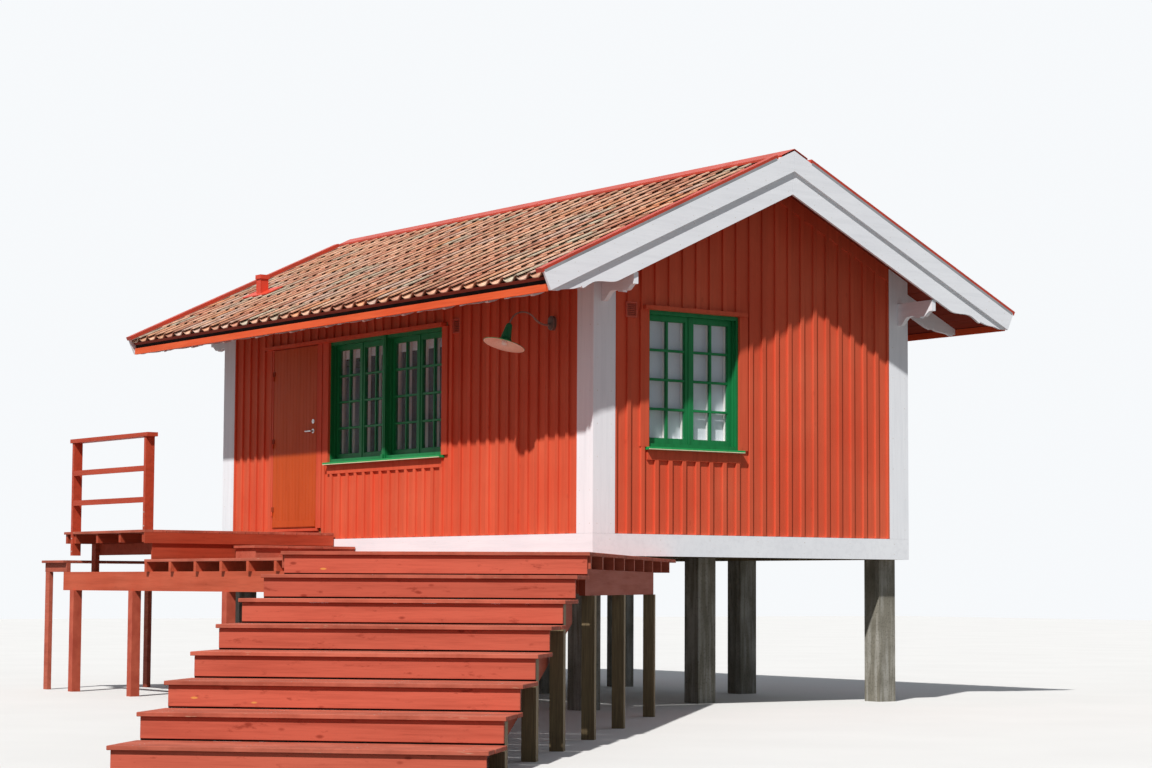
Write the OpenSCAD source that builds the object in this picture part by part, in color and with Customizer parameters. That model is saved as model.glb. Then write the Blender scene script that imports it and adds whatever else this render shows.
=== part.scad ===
// Timber boathouse on concrete piers, with a raised walkway, an outside stair
// and a door landing. The origin is the centre of the near corner pier's foot.
// X runs along the long walls, Y from the entrance wall to the back, Z up.

/* [House] */
// Length of the house over its corner boards
house_l = 7220; // [6000:10:9000]
// Width of the house over its corner boards
house_w = 4000; // [3400:10:4800]
// Thickness of the timber walls without their trim
wall_t = 150; // [100:1:200]
// Thickness of the trim boards that stand proud of the walls
trim_t = 28; // [18:1:40]
// Width of the white corner boards on each face
corner_board_w = 258; // [150:1:300]
// Height of the white plinth boards
plinth_h = 207; // [150:1:240]

/* [Floor and piers] */
// Height of the bearers that lie on the piers
bearer_h = 98; // [80:1:140]
// Width of the bearers
bearer_w = 198; // [170:1:240]
// Height of the floor joists
joist_h = 174; // [120:1:200]
// Thickness of the floor joists
joist_t = 48; // [36:1:70]
// Number of floor joists
joist_count = 12; // [8:1:16]
// Thickness of the floor boards
floor_t = 28; // [20:1:40]
// Side of the square concrete piers
pier_w = 220; // [180:1:300]
// Distance of the corner piers in from the gables
pier_inset = 300; // [250:1:600]
// Distance of the middle piers in from the gables
middle_pier_inset = 900; // [500:1:1400]
// Number of piers under each long wall
pier_count = 4; // [3:1:6]

/* [Roof] */
// Slope of the roof in degrees
roof_pitch = 25.3; // [20:0.1:32]
// Height of the roof's apex above the bottom of the plinth
apex_h = 3925; // [3700:5:4300]
// Overhang of the roof past each gable
gable_overhang = 554; // [350:1:700]
// Overhang of the bargeboards past each long wall
eave_overhang = 960; // [700:1:1100]
// Distance of the eave fascias in from the ends of the bargeboards
fascia_in = 60; // [40:1:120]
// Thickness of the tiles with the battens under them
tile_t = 102; // [80:1:130]
// How far the lowest tiles hang out over the eave fascias
tile_out = 40; // [20:1:55]
// Thickness of the tiles alone
tile_nose_t = 52; // [40:1:70]
// Thickness of the roof boards
roof_board_t = 25; // [18:1:36]
// Thickness of the bargeboards
bargeboard_t = 28; // [20:1:36]
// Width of the upper bargeboards
upper_board_w = 179; // [160:1:220]
// Width of the lower bargeboards
lower_board_w = 241; // [220:1:270]
// How far the upper bargeboards lap over the lower ones
board_lap = 40; // [20:1:60]
// Height of the eave fascia boards
fascia_h = 69; // [60:1:110]
// Thickness of the eave fascia boards
fascia_t = 24; // [18:1:32]
// Depth of the carved rafter tails
tail_d = 176; // [150:1:190]
// Thickness of the carved rafter tails and of the plate ends
tail_t = 50; // [40:1:70]
// Number of rafter tails under each eave
tail_count = 10; // [7:1:14]
// Distance of the outer rafter tails in from the gables
tail_in = 205; // [60:1:205]
// Height of the carved plate ends at the wall
plate_end_h = 228; // [180:1:250]
// Height of the carved plate ends at their tip
plate_tip_h = 110; // [90:1:130]
// Distance of the carved plate ends in from the long walls' faces
plate_end_in = 90; // [60:1:150]
// Height of the underside of the plate ends above the plinth's bottom
plate_end_z = 2382; // [2330:1:2385]
// Height of the folded metal along the verges
verge_h = 40; // [20:1:50]
// Width of the folded metal along the verges
verge_w = 100; // [80:1:130]
// Width of each wing of the ridge cap
ridge_wing = 165; // [120:1:220]
// Thickness of the folded sheet of the ridge cap
sheet_t = 4; // [2:0.5:6]
// Height of the red boards under the roof on the gables
frieze_h = 130; // [90:1:180]

/* [Windows] */
// Width of one window over its frame
window_w = 1140; // [1000:1:1200]
// Height of the window openings
window_h = 1306; // [1200:1:1320]
// Height of the underside of the windows above the plinth's bottom
window_z = 1034; // [950:1:1060]
// Distance from the near gable to the front window
front_window_in = 2585; // [2300:1:2650]
// Distance from the entrance wall's face to the gable window
gable_window_in = 645; // [450:1:1300]
// Width of the frame members as seen from the front
frame_w = 36; // [28:1:60]
// Depth of the window frames
frame_d = 148; // [145:1:150]
// How far the sashes lie behind the wall's face
sash_back = 64; // [60:1:100]
// Width of the sash members
sash_w = 52; // [40:1:70]
// Thickness of the sashes
sash_t = 42; // [30:1:50]
// Thickness of the glass
glass_t = 6; // [4:1:10]
// Width of the glazing bars
bar_w = 24; // [18:1:32]
// How far the green sills stand out of the wall
sill_out = 46; // [36:1:70]
// Height of the head boards over the windows and the door
head_h = 37; // [26:1:40]
// How far the head boards stand out of the wall
head_out = 42; // [30:1:60]
// How far the head boards run past the openings
head_past = 57; // [40:1:80]
// Width of the boards beside the windows
casing_w = 88; // [60:1:92]
// Lap of the side boards over the window frames
casing_lap = 14; // [0:1:20]
// Height of the boards under the sills
apron_h = 96; // [70:1:120]

/* [Door] */
// Width of the door leaf
door_w = 948; // [850:1:980]
// Height of the door leaf
door_h = 1992; // [1900:1:2000]
// Thickness of the door leaf
door_t = 44; // [36:1:54]
// Height of the leaf's bottom above the plinth's bottom
door_z = 338; // [330:1:345]
// Distance from the near gable to the latch side of the leaf
door_in = 5098; // [5050:1:5150]
// Gap round the leaf
door_gap = 6; // [5:1:8]
// Width of the door frame's jambs
jamb_w = 36; // [28:1:50]
// How far the leaf's face lies behind the face of the trim
door_back = 6; // [4:1:20]
// Height of the lever handle above the leaf's bottom
lever_up = 1055; // [950:1:1120]
// Distance of the lever's spindle from the latch edge
lever_in = 70; // [55:1:90]
// Radius of the lever's spindle
spindle_r = 5; // [4:0.5:6]
// Length of the lever grip
lever_l = 118; // [90:1:135]

/* [Walkway and stair] */
// Turn of the walkway from the house in degrees
walk_turn = 45; // [42:1:48]
// Width of the walkway and the stair
walk_w = 2370; // [2100:10:2500]
// Distance of the walkway's front edge out from the near gable
walk_x = 3015; // [2800:5:3200]
// Distance of the walkway's front edge out from the entrance wall
walk_y = 3698; // [3500:5:3900]
// Step down from the plinth's bottom to the walkway
deck_drop = 32; // [24:1:60]
// Thickness of the deck boards and treads
board_t = 28; // [22:1:40]
// Height of the deck joists
deck_joist_h = 98; // [80:1:120]
// Spacing of the deck joists
deck_joist_gap = 600; // [450:10:700]
// Height of the deck beams
deck_beam_h = 198; // [170:1:220]
// Thickness of the deck beams
deck_beam_t = 48; // [36:1:70]
// Side of the square posts under the decks
post_w = 98; // [80:1:110]
// Rise of one step of the stair
rise = 176; // [160:1:190]
// Going of one step of the stair
going = 554; // [500:1:600]
// Number of treads
tread_count = 7; // [4:1:9]
// How far a tread stands over its riser
nosing = 26; // [15:1:35]
// Thickness of the riser boards
riser_t = 22; // [18:1:30]
// Depth of the stringers under the treads
stringer_d = 150; // [120:1:220]

/* [Landing] */
// Depth of the decks along the entrance wall
deck_d = 2250; // [2100:10:2400]
// Step up from the walkway to the door landing
landing_up = 304; // [280:1:320]
// Distance from the near gable to the landing's near side
landing_in = 4683; // [4600:1:4750]
// Length of the landing along the wall
landing_l = 1930; // [1800:10:2000]
// Length of the low side step past the landing's far side
side_step_l = 560; // [400:1:700]
// Depth of the low side step
side_step_d = 1300; // [900:10:1600]
// Spacing of the joists under the low deck and the landing
side_joist_gap = 537; // [450:1:600]
// Length of the step box along the landing's near side
box_l = 1220; // [1000:10:1500]
// Depth of the step box
box_d = 450; // [350:1:500]
// Thickness of the railing posts
rail_post_t = 48; // [36:1:60]
// Width of the railing posts
rail_post_w = 98; // [80:1:120]
// Height of the railing posts above the landing
rail_h = 957; // [900:1:1050]
// Height of the rail boards
rail_board_h = 56; // [48:1:80]
// Thickness of the rail boards
rail_board_t = 28; // [20:1:34]
// Thickness of the flat top rail
rail_cap_t = 42; // [30:1:50]
// Width of the flat top rail
rail_cap_w = 120; // [105:1:145]
// Height of the lower rail above the landing
low_rail_up = 280; // [200:1:400]
// Height of the middle rail above the landing
mid_rail_up = 602; // [500:1:750]

/* [Fittings] */
// Distance from the near gable to the wall lamp
lamp_in = 645; // [500:1:900]
// Height of the lamp's wall plate above the plinth's bottom
lamp_z = 2216; // [2100:1:2260]
// Radius of the first bend of the lamp arm
arm_low_bend = 199; // [150:1:230]
// Radius of the second bend of the lamp arm
arm_high_bend = 170; // [130:1:200]
// Radius of the lamp's shade
shade_r = 200; // [150:1:220]
// Tilt of the lamp's shade outwards in degrees
shade_tilt = 17; // [0:1:25]
// Radius of the bent lamp arm
arm_r = 8; // [6:1:11]
// Width of the wall vents
vent_w = 128; // [80:1:140]
// Height of the wall vents
vent_h = 147; // [100:1:160]
// Height of the wall vents' middle above the plinth's bottom
vent_z = 2326; // [2200:1:2400]
// Distance from the near gable to the vents in the long walls
long_vent_in = 2337; // [2200:1:2400]
// Distance from the entrance wall's face to the vents in the gables
gable_vent_in = 450; // [320:1:500]
// Distance from the near gable to the roof vent
roof_vent_in = 6620; // [6000:10:6900]
// Distance from the entrance wall to the roof vent
roof_vent_y = 150; // [0:10:600]
// Side of the square roof vent
roof_vent_w = 95; // [80:1:130]
// Height of the roof vent above the tiles
roof_vent_h = 205; // [150:1:260]

/* [Hidden] */

// Clearances
seat = 0.3;
slot = 1;
deck_gap = 10;

// Heights in the house's own frame, where zero is the plinth's bottom
deck_z = -deck_drop;
ground_z = deck_z - (tread_count + 1) * rise;
base_h = -ground_z;
floor_z = bearer_h + joist_h + floor_t;
landing_z = deck_z + landing_up;
wall_in = trim_t + wall_t;
mid_y = house_w / 2;

// Roof lines: a runs down the slope from the ridge and b goes into the roof
slope_run = mid_y + eave_overhang;
slope_len = slope_run / cos(roof_pitch);
boards_top = tile_t;
soffit_b = boards_top + roof_board_t;
function roof_z(y, b) = apex_h - abs(mid_y - y) * tan(roof_pitch) - b / cos(roof_pitch);
function slope_pt(a, b) = [mid_y - a * cos(roof_pitch) + b * sin(roof_pitch),
    apex_h - a * sin(roof_pitch) - b * cos(roof_pitch)];
wall_top = roof_z(trim_t, soffit_b + seat);

// Points of a soft S between two points, level at both ends
function ogee(p, q, steps = 8) = [for (i = [0 : steps]) let (t = i / steps)
    [p[0] + (q[0] - p[0]) * t, p[1] + (q[1] - p[1]) * t * t * (3 - 2 * t)]];

// Walkway plan: u runs across it and t along it, from its front edge to the house
function walk_pt(u, t) = [walk_x + u * cos(walk_turn) - t * sin(walk_turn),
    -walk_y + u * sin(walk_turn) + t * cos(walk_turn)];
walk_half = walk_w / 2;
t_gable = (walk_x + walk_half * cos(walk_turn) - deck_gap) / sin(walk_turn);
t_wall = (walk_y + walk_half * sin(walk_turn) - deck_gap) / cos(walk_turn);
t_side = (walk_y + walk_half * sin(walk_turn) - deck_d) / cos(walk_turn);
t_joist = nosing + riser_t + seat;
walk_plan = [walk_pt(walk_half, 0), walk_pt(walk_half, t_gable), [deck_gap, -deck_gap],
    walk_pt(-walk_half, t_wall), walk_pt(-walk_half, 0)];
side_off = [seat / sin(walk_turn), 0];
side_plan = [[-landing_in + slot, -deck_d], walk_pt(-walk_half, t_side) - side_off,
    walk_pt(-walk_half, t_wall) - side_off, [-landing_in + slot, -deck_gap]];
deck_beam_z = deck_z - board_t - deck_joist_h;
pier_face = trim_t + bearer_w / 2 - pier_w / 2;

// Colours
red = "#8e2f22";
white = "#e9e6e0";
green = "#1d5a35";
clay = "#b0674c";
grey = "#8d8a84";
raw_wood = "#8a7350";

module house() translate([pier_inset, -(trim_t + bearer_w / 2), base_h]) children();
module walkway() house() translate([walk_x, -walk_y, 0]) rotate(walk_turn) children();
module along_x(from, to) translate([from, 0, 0])
    rotate([90, 0, 90]) linear_extrude(to - from) children();
module block(low, high) translate(low) cube(high - low);
module mirror_y() {
    children();
    translate([0, house_w, 0]) mirror([0, 1, 0]) children();
}
module mirror_x() {
    children();
    translate([-house_l, 0, 0]) mirror([1, 0, 0]) children();
}

// Foundations and floor
module house_piers() color(grey) house() {
    far = house_l - pier_inset;
    for (i = [0 : pier_count - 1], y = [trim_t + bearer_w / 2, house_w - trim_t - bearer_w / 2])
        translate([-pier_inset - i * (far - pier_inset) / (pier_count - 1), y, ground_z])
            pier();
    for (i = [0 : pier_count - 2])
        translate([-middle_pier_inset - i * (house_l - 2 * middle_pier_inset) / (pier_count - 2),
            mid_y, ground_z]) pier();
}
module pier() translate([-pier_w / 2, -pier_w / 2, 0]) cube([pier_w, pier_w, base_h]);

module floor_bearers() color(raw_wood) house()
    for (y = [trim_t, mid_y - bearer_w / 2, house_w - trim_t - bearer_w])
        block([-house_l + trim_t, y, 0], [-trim_t, y + bearer_w, bearer_h]);

module floor_joists() color(raw_wood) house()
    for (i = [0 : joist_count - 1])
        translate([-wall_in - joist_t - i * (house_l - 2 * wall_in - joist_t) / (joist_count - 1),
            wall_in, bearer_h]) cube([joist_t, house_w - 2 * wall_in, joist_h]);

module floor_boards() color(raw_wood) house()
    block([-house_l + wall_in, wall_in, floor_z - floor_t], [-wall_in, house_w - wall_in, floor_z]);

module plinth_boards() color(white) house() {
    mirror_y() block([-house_l + trim_t + slot, 0, 0], [-trim_t - slot, trim_t, plinth_h]);
    mirror_x() block([-trim_t, 0, 0], [0, house_w, plinth_h]);
}

// Walls
door_left = door_in + door_w + door_gap + jamb_w;
door_right = door_in - door_gap - jamb_w;
door_top = door_z + door_h + door_gap + jamb_w;
door_casing_w = 66;
module front_wall_left() color(red) house()
    block([-house_l + trim_t, trim_t, bearer_h], [-door_left, wall_in, wall_top]);

module front_wall_over_door() color(red) house()
    block([-door_left, trim_t, door_top], [-door_right, wall_in, wall_top]);

module front_wall_right() color(red) house() difference() {
    block([-door_right, trim_t, bearer_h], [-trim_t, wall_in, wall_top]);
    front_window_place() window_hole(2 * window_w);
}

module back_wall() color(red) house() difference() {
    block([-house_l + trim_t, house_w - wall_in, bearer_h], [-trim_t, house_w - trim_t, wall_top]);
    back_window_place() window_hole(2 * window_w);
}

module gable_outline() {
    low_y = wall_in + seat;
    high_y = house_w - wall_in - seat;
    polygon([[low_y, bearer_h], [high_y, bearer_h], [high_y, roof_z(high_y, soffit_b + seat)],
        [mid_y, roof_z(mid_y, soffit_b + seat)], [low_y, roof_z(low_y, soffit_b + seat)]]);
}
module near_gable_wall() color(red) house() difference() {
    along_x(-wall_in, -trim_t) gable_outline();
    near_window_place() window_hole(window_w);
}
module far_gable_wall() color(red) house() difference() {
    along_x(-house_l + trim_t, -house_l + wall_in) gable_outline();
    far_window_place() window_hole(window_w);
}

module corner_boards() color(white) house() mirror_x() mirror_y() {
    block([-corner_board_w, 0, plinth_h + slot],
        [-trim_t, trim_t - seat, roof_z(0, soffit_b + seat) - seat]);
    difference() {
        along_x(-trim_t + seat, 0) polygon([[0, plinth_h + slot], [corner_board_w, plinth_h + slot],
            [corner_board_w, roof_z(corner_board_w, soffit_b + seat)], [0, roof_z(0, soffit_b + seat)]]);
        block([-trim_t, plate_end_in - slot, plate_end_z - slot],
            [slot, plate_end_in + tail_t + slot, plate_end_z + plate_end_h + slot]);
    }
}

// Roof
roof_x = gable_overhang - bargeboard_t;
fascia_y = -eave_overhang + fascia_in;
eave_y = fascia_y + fascia_t + seat;
nose_y = fascia_y - tile_out;
module boards_slope() polygon([
    [mid_y - seat, roof_z(mid_y - seat, boards_top)], [eave_y, roof_z(eave_y, boards_top)],
    [eave_y, roof_z(eave_y, soffit_b)], [mid_y - seat, roof_z(mid_y - seat, soffit_b)]]);
// The lowest tiles hang over the fascia and the battens stop at the boards' end
module tiles_slope() polygon([[mid_y - seat, roof_z(mid_y - seat, 0)], [nose_y, roof_z(nose_y, 0)],
    [nose_y, roof_z(nose_y, tile_nose_t)], [eave_y, roof_z(eave_y, tile_nose_t)],
    [eave_y, roof_z(eave_y, boards_top - seat)],
    [mid_y - seat, roof_z(mid_y - seat, boards_top - seat)]]);
module back_side() translate([0, house_w, 0]) mirror([0, 1, 0]) children();

module roof_boards_front() color(red) house()
    along_x(-house_l - roof_x, roof_x) boards_slope();
module roof_boards_back() color(red) house() back_side()
    along_x(-house_l - roof_x, roof_x) boards_slope();
module tiles_front() color(clay) house()
    along_x(-house_l - roof_x + seat, roof_x - seat) tiles_slope();
module tiles_back() color(clay) house() back_side()
    along_x(-house_l - roof_x + seat, roof_x - seat) tiles_slope();

ridge_lift = 20;
cap_in = ridge_wing - sheet_t;
module ridge_cap() color(red) house() along_x(-house_l - gable_overhang, gable_overhang) polygon([
    [mid_y, roof_z(mid_y, -ridge_lift)],
    [mid_y - ridge_wing, roof_z(mid_y - ridge_wing, -ridge_lift)],
    [mid_y - ridge_wing, roof_z(mid_y - ridge_wing, -seat)],
    [mid_y - cap_in, roof_z(mid_y - cap_in, -seat)],
    [mid_y - cap_in, roof_z(mid_y - cap_in, sheet_t - ridge_lift)],
    [mid_y, roof_z(mid_y, sheet_t - ridge_lift)],
    [mid_y + cap_in, roof_z(mid_y + cap_in, sheet_t - ridge_lift)],
    [mid_y + cap_in, roof_z(mid_y + cap_in, -seat)],
    [mid_y + ridge_wing, roof_z(mid_y + ridge_wing, -seat)],
    [mid_y + ridge_wing, roof_z(mid_y + ridge_wing, -ridge_lift)]]);

verge_start = ridge_wing / cos(roof_pitch) + slot + verge_h;
verge_past = 14;
module verge_flashings() color(red) house() mirror_x() mirror_y()
    along_x(gable_overhang - verge_w, gable_overhang) polygon([
        slope_pt(verge_start, -seat), slope_pt(slope_len + verge_past, -seat),
        slope_pt(slope_len + verge_past, -verge_h), slope_pt(verge_start, -verge_h)]);

// Bargeboards: a plain upper board laps over a lower one that ends in a wave
module upper_bargeboard() polygon([[mid_y - slot, roof_z(mid_y - slot, 0)], slope_pt(slope_len, 0),
    slope_pt(slope_len, upper_board_w), [mid_y - slot, roof_z(mid_y - slot, upper_board_w)]]);
lower_top = upper_board_w - board_lap;
lower_low = lower_top + lower_board_w;
// The wave in the lower board's edge: distances in from the board's end and depths below its top line
wave_start = 700;
wave_nib = 320;
wave_foot = 85;
wave_end = 12;
module lower_bargeboard() {
    below = lower_low - upper_board_w;
    crest = upper_board_w + 0.54 * below;
    foot = upper_board_w + 0.19 * below;
    wave = concat(ogee([wave_start, lower_low], [wave_nib + 115, crest]),
        [[wave_nib + 60, crest + 4], [wave_nib + 30, crest + 9], [wave_nib + 4, crest + 8]],
        [[wave_nib, crest - 15], [wave_nib - 14, crest - 8]],
        ogee([wave_nib - 28, crest - 15], [wave_foot, foot]),
        [[wave_foot - 30, upper_board_w + 0.12 * below], [wave_end, upper_board_w - slot]]);
    polygon(concat([[mid_y - slot, roof_z(mid_y - slot, lower_low)]],
        [for (p = wave) slope_pt(slope_len - p[0] / cos(roof_pitch), p[1])],
        [slope_pt(slope_len - wave_end / cos(roof_pitch), lower_top),
        [mid_y - slot, roof_z(mid_y - slot, lower_top)]]));
}
module bargeboard_pair() mirror_y() {
    along_x(gable_overhang - bargeboard_t + seat, gable_overhang) upper_bargeboard();
    along_x(gable_overhang - 2 * bargeboard_t, gable_overhang - bargeboard_t) difference() {
        lower_bargeboard();
        polygon([[mid_y + slot, roof_z(mid_y, 0)], [nose_y - slot, roof_z(nose_y - slot, 0)],
            [nose_y - slot, roof_z(nose_y - slot, tile_nose_t + seat)],
            [eave_y - slot, roof_z(eave_y - slot, tile_nose_t + seat)],
            [eave_y - slot, roof_z(eave_y - slot, soffit_b + seat)],
            [mid_y + slot, roof_z(mid_y, soffit_b + seat)]]);
    }
}
module near_bargeboards() color(white) house() bargeboard_pair();
module far_bargeboards() color(white) house()
    translate([-house_l, 0, 0]) mirror([1, 0, 0]) bargeboard_pair();

// The fascia hides the ends of the roof boards
fascia_top = roof_z(fascia_y, boards_top) - 14;
fascia_end = roof_x - bargeboard_t - seat;
module eave_fascias() color(red) house() mirror_y()
    block([-house_l - fascia_end, fascia_y, fascia_top - fascia_h],
        [fascia_end, fascia_y + fascia_t, fascia_top]);

// Carved tails under the eaves and carved ends of the wall plates
tail_b = soffit_b + seat;
function tail_pt(y, d) = [y, roof_z(y, tail_b + d)];
module tail_outline() {
    tip_d = 0.28 * tail_d;
    curve = concat([[eave_y + 38, 0.45 * tail_d]],
        ogee([eave_y + 50, 0.475 * tail_d], [eave_y + 306, 0.81 * tail_d]),
        [[eave_y + 320, 0.805 * tail_d], [eave_y + 332, 0.89 * tail_d]],
        ogee([eave_y + 346, 0.945 * tail_d], [eave_y + 420, tail_d], 4));
    polygon(concat([tail_pt(eave_y, 0), tail_pt(eave_y, tip_d), tail_pt(eave_y + 34, tip_d)],
        [for (p = curve) tail_pt(p[0], p[1])],
        [tail_pt(-seat, tail_d), tail_pt(-seat, 0)]));
}
module rafter_tail_row() for (i = [0 : tail_count - 1]) {
    x = -tail_in - i * (house_l - 2 * tail_in - tail_t) / (tail_count - 1);
    along_x(x - tail_t, x) tail_outline();
    if (i > 0 && i < tail_count - 1) block([x - tail_t, -2 * seat, roof_z(0, tail_b + tail_d)],
        [x, trim_t - seat, roof_z(0, tail_b) - 2 * slot]);
}
module rafter_tails_front() color(white) house() rafter_tail_row();
module rafter_tails_back() color(white) house() back_side() rafter_tail_row();

plate_reach = gable_overhang - 50;
module plate_end_outline() {
    r = plate_reach;
    h = plate_end_h;
    tip = h - plate_tip_h;
    curve = concat(ogee([0.06 * r, 0], [0.3 * r, 0.36 * h]),
        [[0.41 * r, 0.386 * h], [0.48 * r, 0.36 * h]],
        [[0.524 * r, 0.285 * h], [0.66 * r, 0.24 * h], [0.664 * r, 0.31 * h]],
        ogee([0.76 * r, 0.3 * h], [0.94 * r, tip]));
    polygon(concat([[-trim_t + seat, 0]], curve, [[r, tip], [r, h], [-trim_t + seat, h]]));
}
module plate_ends() color(white) house() mirror_x() mirror_y() difference() {
    translate([0, plate_end_in + tail_t, plate_end_z]) rotate([90, 0, 0])
        linear_extrude(tail_t) plate_end_outline();
    along_x(gable_overhang - 2 * bargeboard_t - seat, gable_overhang + slot)
        polygon([slope_pt(0, 0), slope_pt(slope_len, 0), slope_pt(slope_len, lower_low + seat),
            slope_pt(0, lower_low + seat)]);
}

// Windows: every window is one unit or two units side by side
module front_window_place() translate([-front_window_in - 2 * window_w, 0, window_z]) children();
module back_window_place() translate([-front_window_in, house_w, window_z]) rotate(180) children();
module near_window_place() translate([0, gable_window_in, window_z]) rotate(90) children();
module far_window_place() translate([-house_l, gable_window_in + window_w, window_z])
    rotate(-90) children();
module every_window() {
    front_window_place() pair() children();
    back_window_place() pair() children();
    near_window_place() children();
    far_window_place() children();
}
module pair() {
    children();
    translate([window_w, 0, 0]) children();
}
module window_hole(w) block([0, trim_t - slot, 0], [w, wall_in + slot, window_h]);

module window_frames() color(green) house() every_window() difference() {
    block([seat, trim_t, seat], [window_w - seat, trim_t + frame_d, window_h - seat]);
    block([frame_w, trim_t - slot, frame_w],
        [window_w - frame_w, trim_t + frame_d + slot, window_h - frame_w]);
}

pane_w = (window_w - 2 * frame_w) / 2;
module sash_place() for (i = [0, 1])
    translate([frame_w + i * pane_w, trim_t + sash_back, frame_w]) children();
sash_h = window_h - 2 * frame_w;
sash_gap = seat;
module window_sashes() color(green) house() every_window() sash_place() difference() {
    block([sash_gap, 0, sash_gap], [pane_w - sash_gap, sash_t, sash_h - sash_gap]);
    block([sash_w, -slot, sash_w], [pane_w - sash_w, sash_t + slot, sash_h - sash_w]);
    glass_rebate(0);
}
rebate = 10;
module glass_rebate(gap) block(
    [sash_w - rebate + gap, (sash_t - glass_t) / 2 + gap, sash_w - rebate + gap],
    [pane_w - sash_w + rebate - gap, (sash_t + glass_t) / 2 - gap, sash_h - sash_w + rebate - gap]);
module window_glass() color("lightblue", 0.4) house() every_window() sash_place() glass_rebate(seat);

blind_t = 3;
module window_blinds() color(white) house() every_window()
    block([frame_w + seat, trim_t + frame_d - blind_t - slot, frame_w + seat],
        [window_w - frame_w - seat, trim_t + frame_d - slot, window_h - frame_w - seat]);

// Sills, heads and boards round the openings, and the boards under the roof on the gables
sill_t = 26;
sill_low = -sill_t - slot;
head_z = window_h + slot;
module head_board(w)
    block([-head_past, -head_out, head_z], [w + head_past, trim_t - seat, head_z + head_h]);
module sill(w) block([-jamb_w / 2, -sill_out, sill_low], [w + jamb_w / 2, trim_t - seat, -slot]);
module casings(w) for (x = [-casing_w, w - casing_lap])
    block([x, seat, 0], [x + casing_w + casing_lap, trim_t - seat, head_z - seat]);
module apron(w) block([0, seat, sill_low - apron_h], [w, trim_t - seat, sill_low - seat]);
module window_boards(w) {
    casings(w);
    apron(w);
}
module gable_frieze() along_x(-trim_t + seat, -2) polygon([
    for (p = [[corner_board_w + slot, 0], [mid_y, 0], [house_w - corner_board_w - slot, 0],
        [house_w - corner_board_w - slot, frieze_h], [mid_y, frieze_h],
        [corner_board_w + slot, frieze_h]])
        [p[0], roof_z(p[0], soffit_b + seat) - p[1]]]);
module wall_trims() color(red) house() {
    block([-door_left - 2 * head_past, -head_out, window_z + head_z],
        [-front_window_in + jamb_w, trim_t - seat, window_z + head_z + head_h]);
    block([-door_right + seat, seat, door_z - door_gap],
        [-door_right + door_casing_w, trim_t - seat, window_z + head_z - seat]);
    back_window_place() head_board(2 * window_w);
    near_window_place() head_board(window_w);
    far_window_place() head_board(window_w);
    front_window_place() window_boards(2 * window_w);
    back_window_place() window_boards(2 * window_w);
    near_window_place() window_boards(window_w);
    far_window_place() window_boards(window_w);
    mirror_x() gable_frieze();
}
module window_sills() color(green) house() {
    front_window_place() sill(2 * window_w);
    back_window_place() sill(2 * window_w);
    near_window_place() sill(window_w);
    far_window_place() sill(window_w);
}

// Door
leaf_y = door_back;
hinge_x = -(door_in + door_w);
hinge_y = -8;
hinge_spots = [0.12, 0.5, 0.88];
knuckle_r = 7;
knuckle_h = 50;
stop_t = 16;
module door_frame() color(red) house() {
    sill_top = door_z - door_gap;
    for (x = [-door_left + seat, -door_in + door_gap])
        block([x, seat, floor_z + slot], [x + jamb_w - seat, wall_in, door_top - jamb_w]);
    block([-door_left + seat, trim_t, door_top - jamb_w],
        [-door_right - seat, wall_in, door_top - seat]);
    block([-door_left + seat, 0, sill_top - 30], [-door_right - seat, wall_in, sill_top]);
    block([-door_left + seat, trim_t, bearer_h], [-door_right - seat, wall_in, sill_top - 30 - seat]);
    for (z = hinge_spots) translate([hinge_x, hinge_y, door_z + door_h * z - 50 - seat - knuckle_h]) {
        cylinder(r = knuckle_r, h = knuckle_h, $fn = 32);
        block([-jamb_w / 2, 2, 0], [0, -hinge_y + slot, knuckle_h]);
    }
    stop_y = leaf_y + door_t + door_gap;
    block([-door_left + jamb_w, stop_y, sill_top + seat],
        [-door_left + jamb_w + stop_t, stop_y + joist_t, door_top - jamb_w - seat]);
    block([-door_right - jamb_w - stop_t, stop_y, sill_top + seat],
        [-door_right - jamb_w, stop_y + joist_t, door_top - jamb_w - seat]);
}

module door_leaf() color(red) house() difference() {
    union() {
        block([-door_in - door_w, leaf_y, door_z], [-door_in, leaf_y + door_t, door_z + door_h]);
        for (z = hinge_spots) translate([hinge_x, hinge_y, door_z + door_h * z - 50]) {
            cylinder(r = knuckle_r, h = knuckle_h, $fn = 32);
            block([0, 2, 0], [30, leaf_y - hinge_y + slot, knuckle_h]);
        }
    }
    translate([-door_in - lever_in, leaf_y - slot, door_z + lever_up]) rotate([-90, 0, 0])
        cylinder(r = spindle_r + seat, h = door_t + 2 * slot, $fn = 48);
}

rose_gap = 6;
lever_r = 9;
module door_levers() color(grey) house()
    translate([-door_in - lever_in, leaf_y, door_z + lever_up]) {
        rotate([-90, 0, 0]) translate([0, 0, -rose_gap - 2 * lever_r - 14])
            cylinder(r = spindle_r, h = door_t + 2 * (rose_gap + 2 * lever_r + 14), $fn = 32);
        for (y = [-rose_gap - lever_r - 20, door_t + rose_gap + lever_r + 20])
            translate([0, y, 0]) rotate([0, -90, 0]) {
                translate([0, 0, -lever_r]) cylinder(r = lever_r, h = lever_l + lever_r, $fn = 32);
                translate([0, 0, lever_l]) sphere(r = lever_r, $fn = 32);
            }
    }

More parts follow.
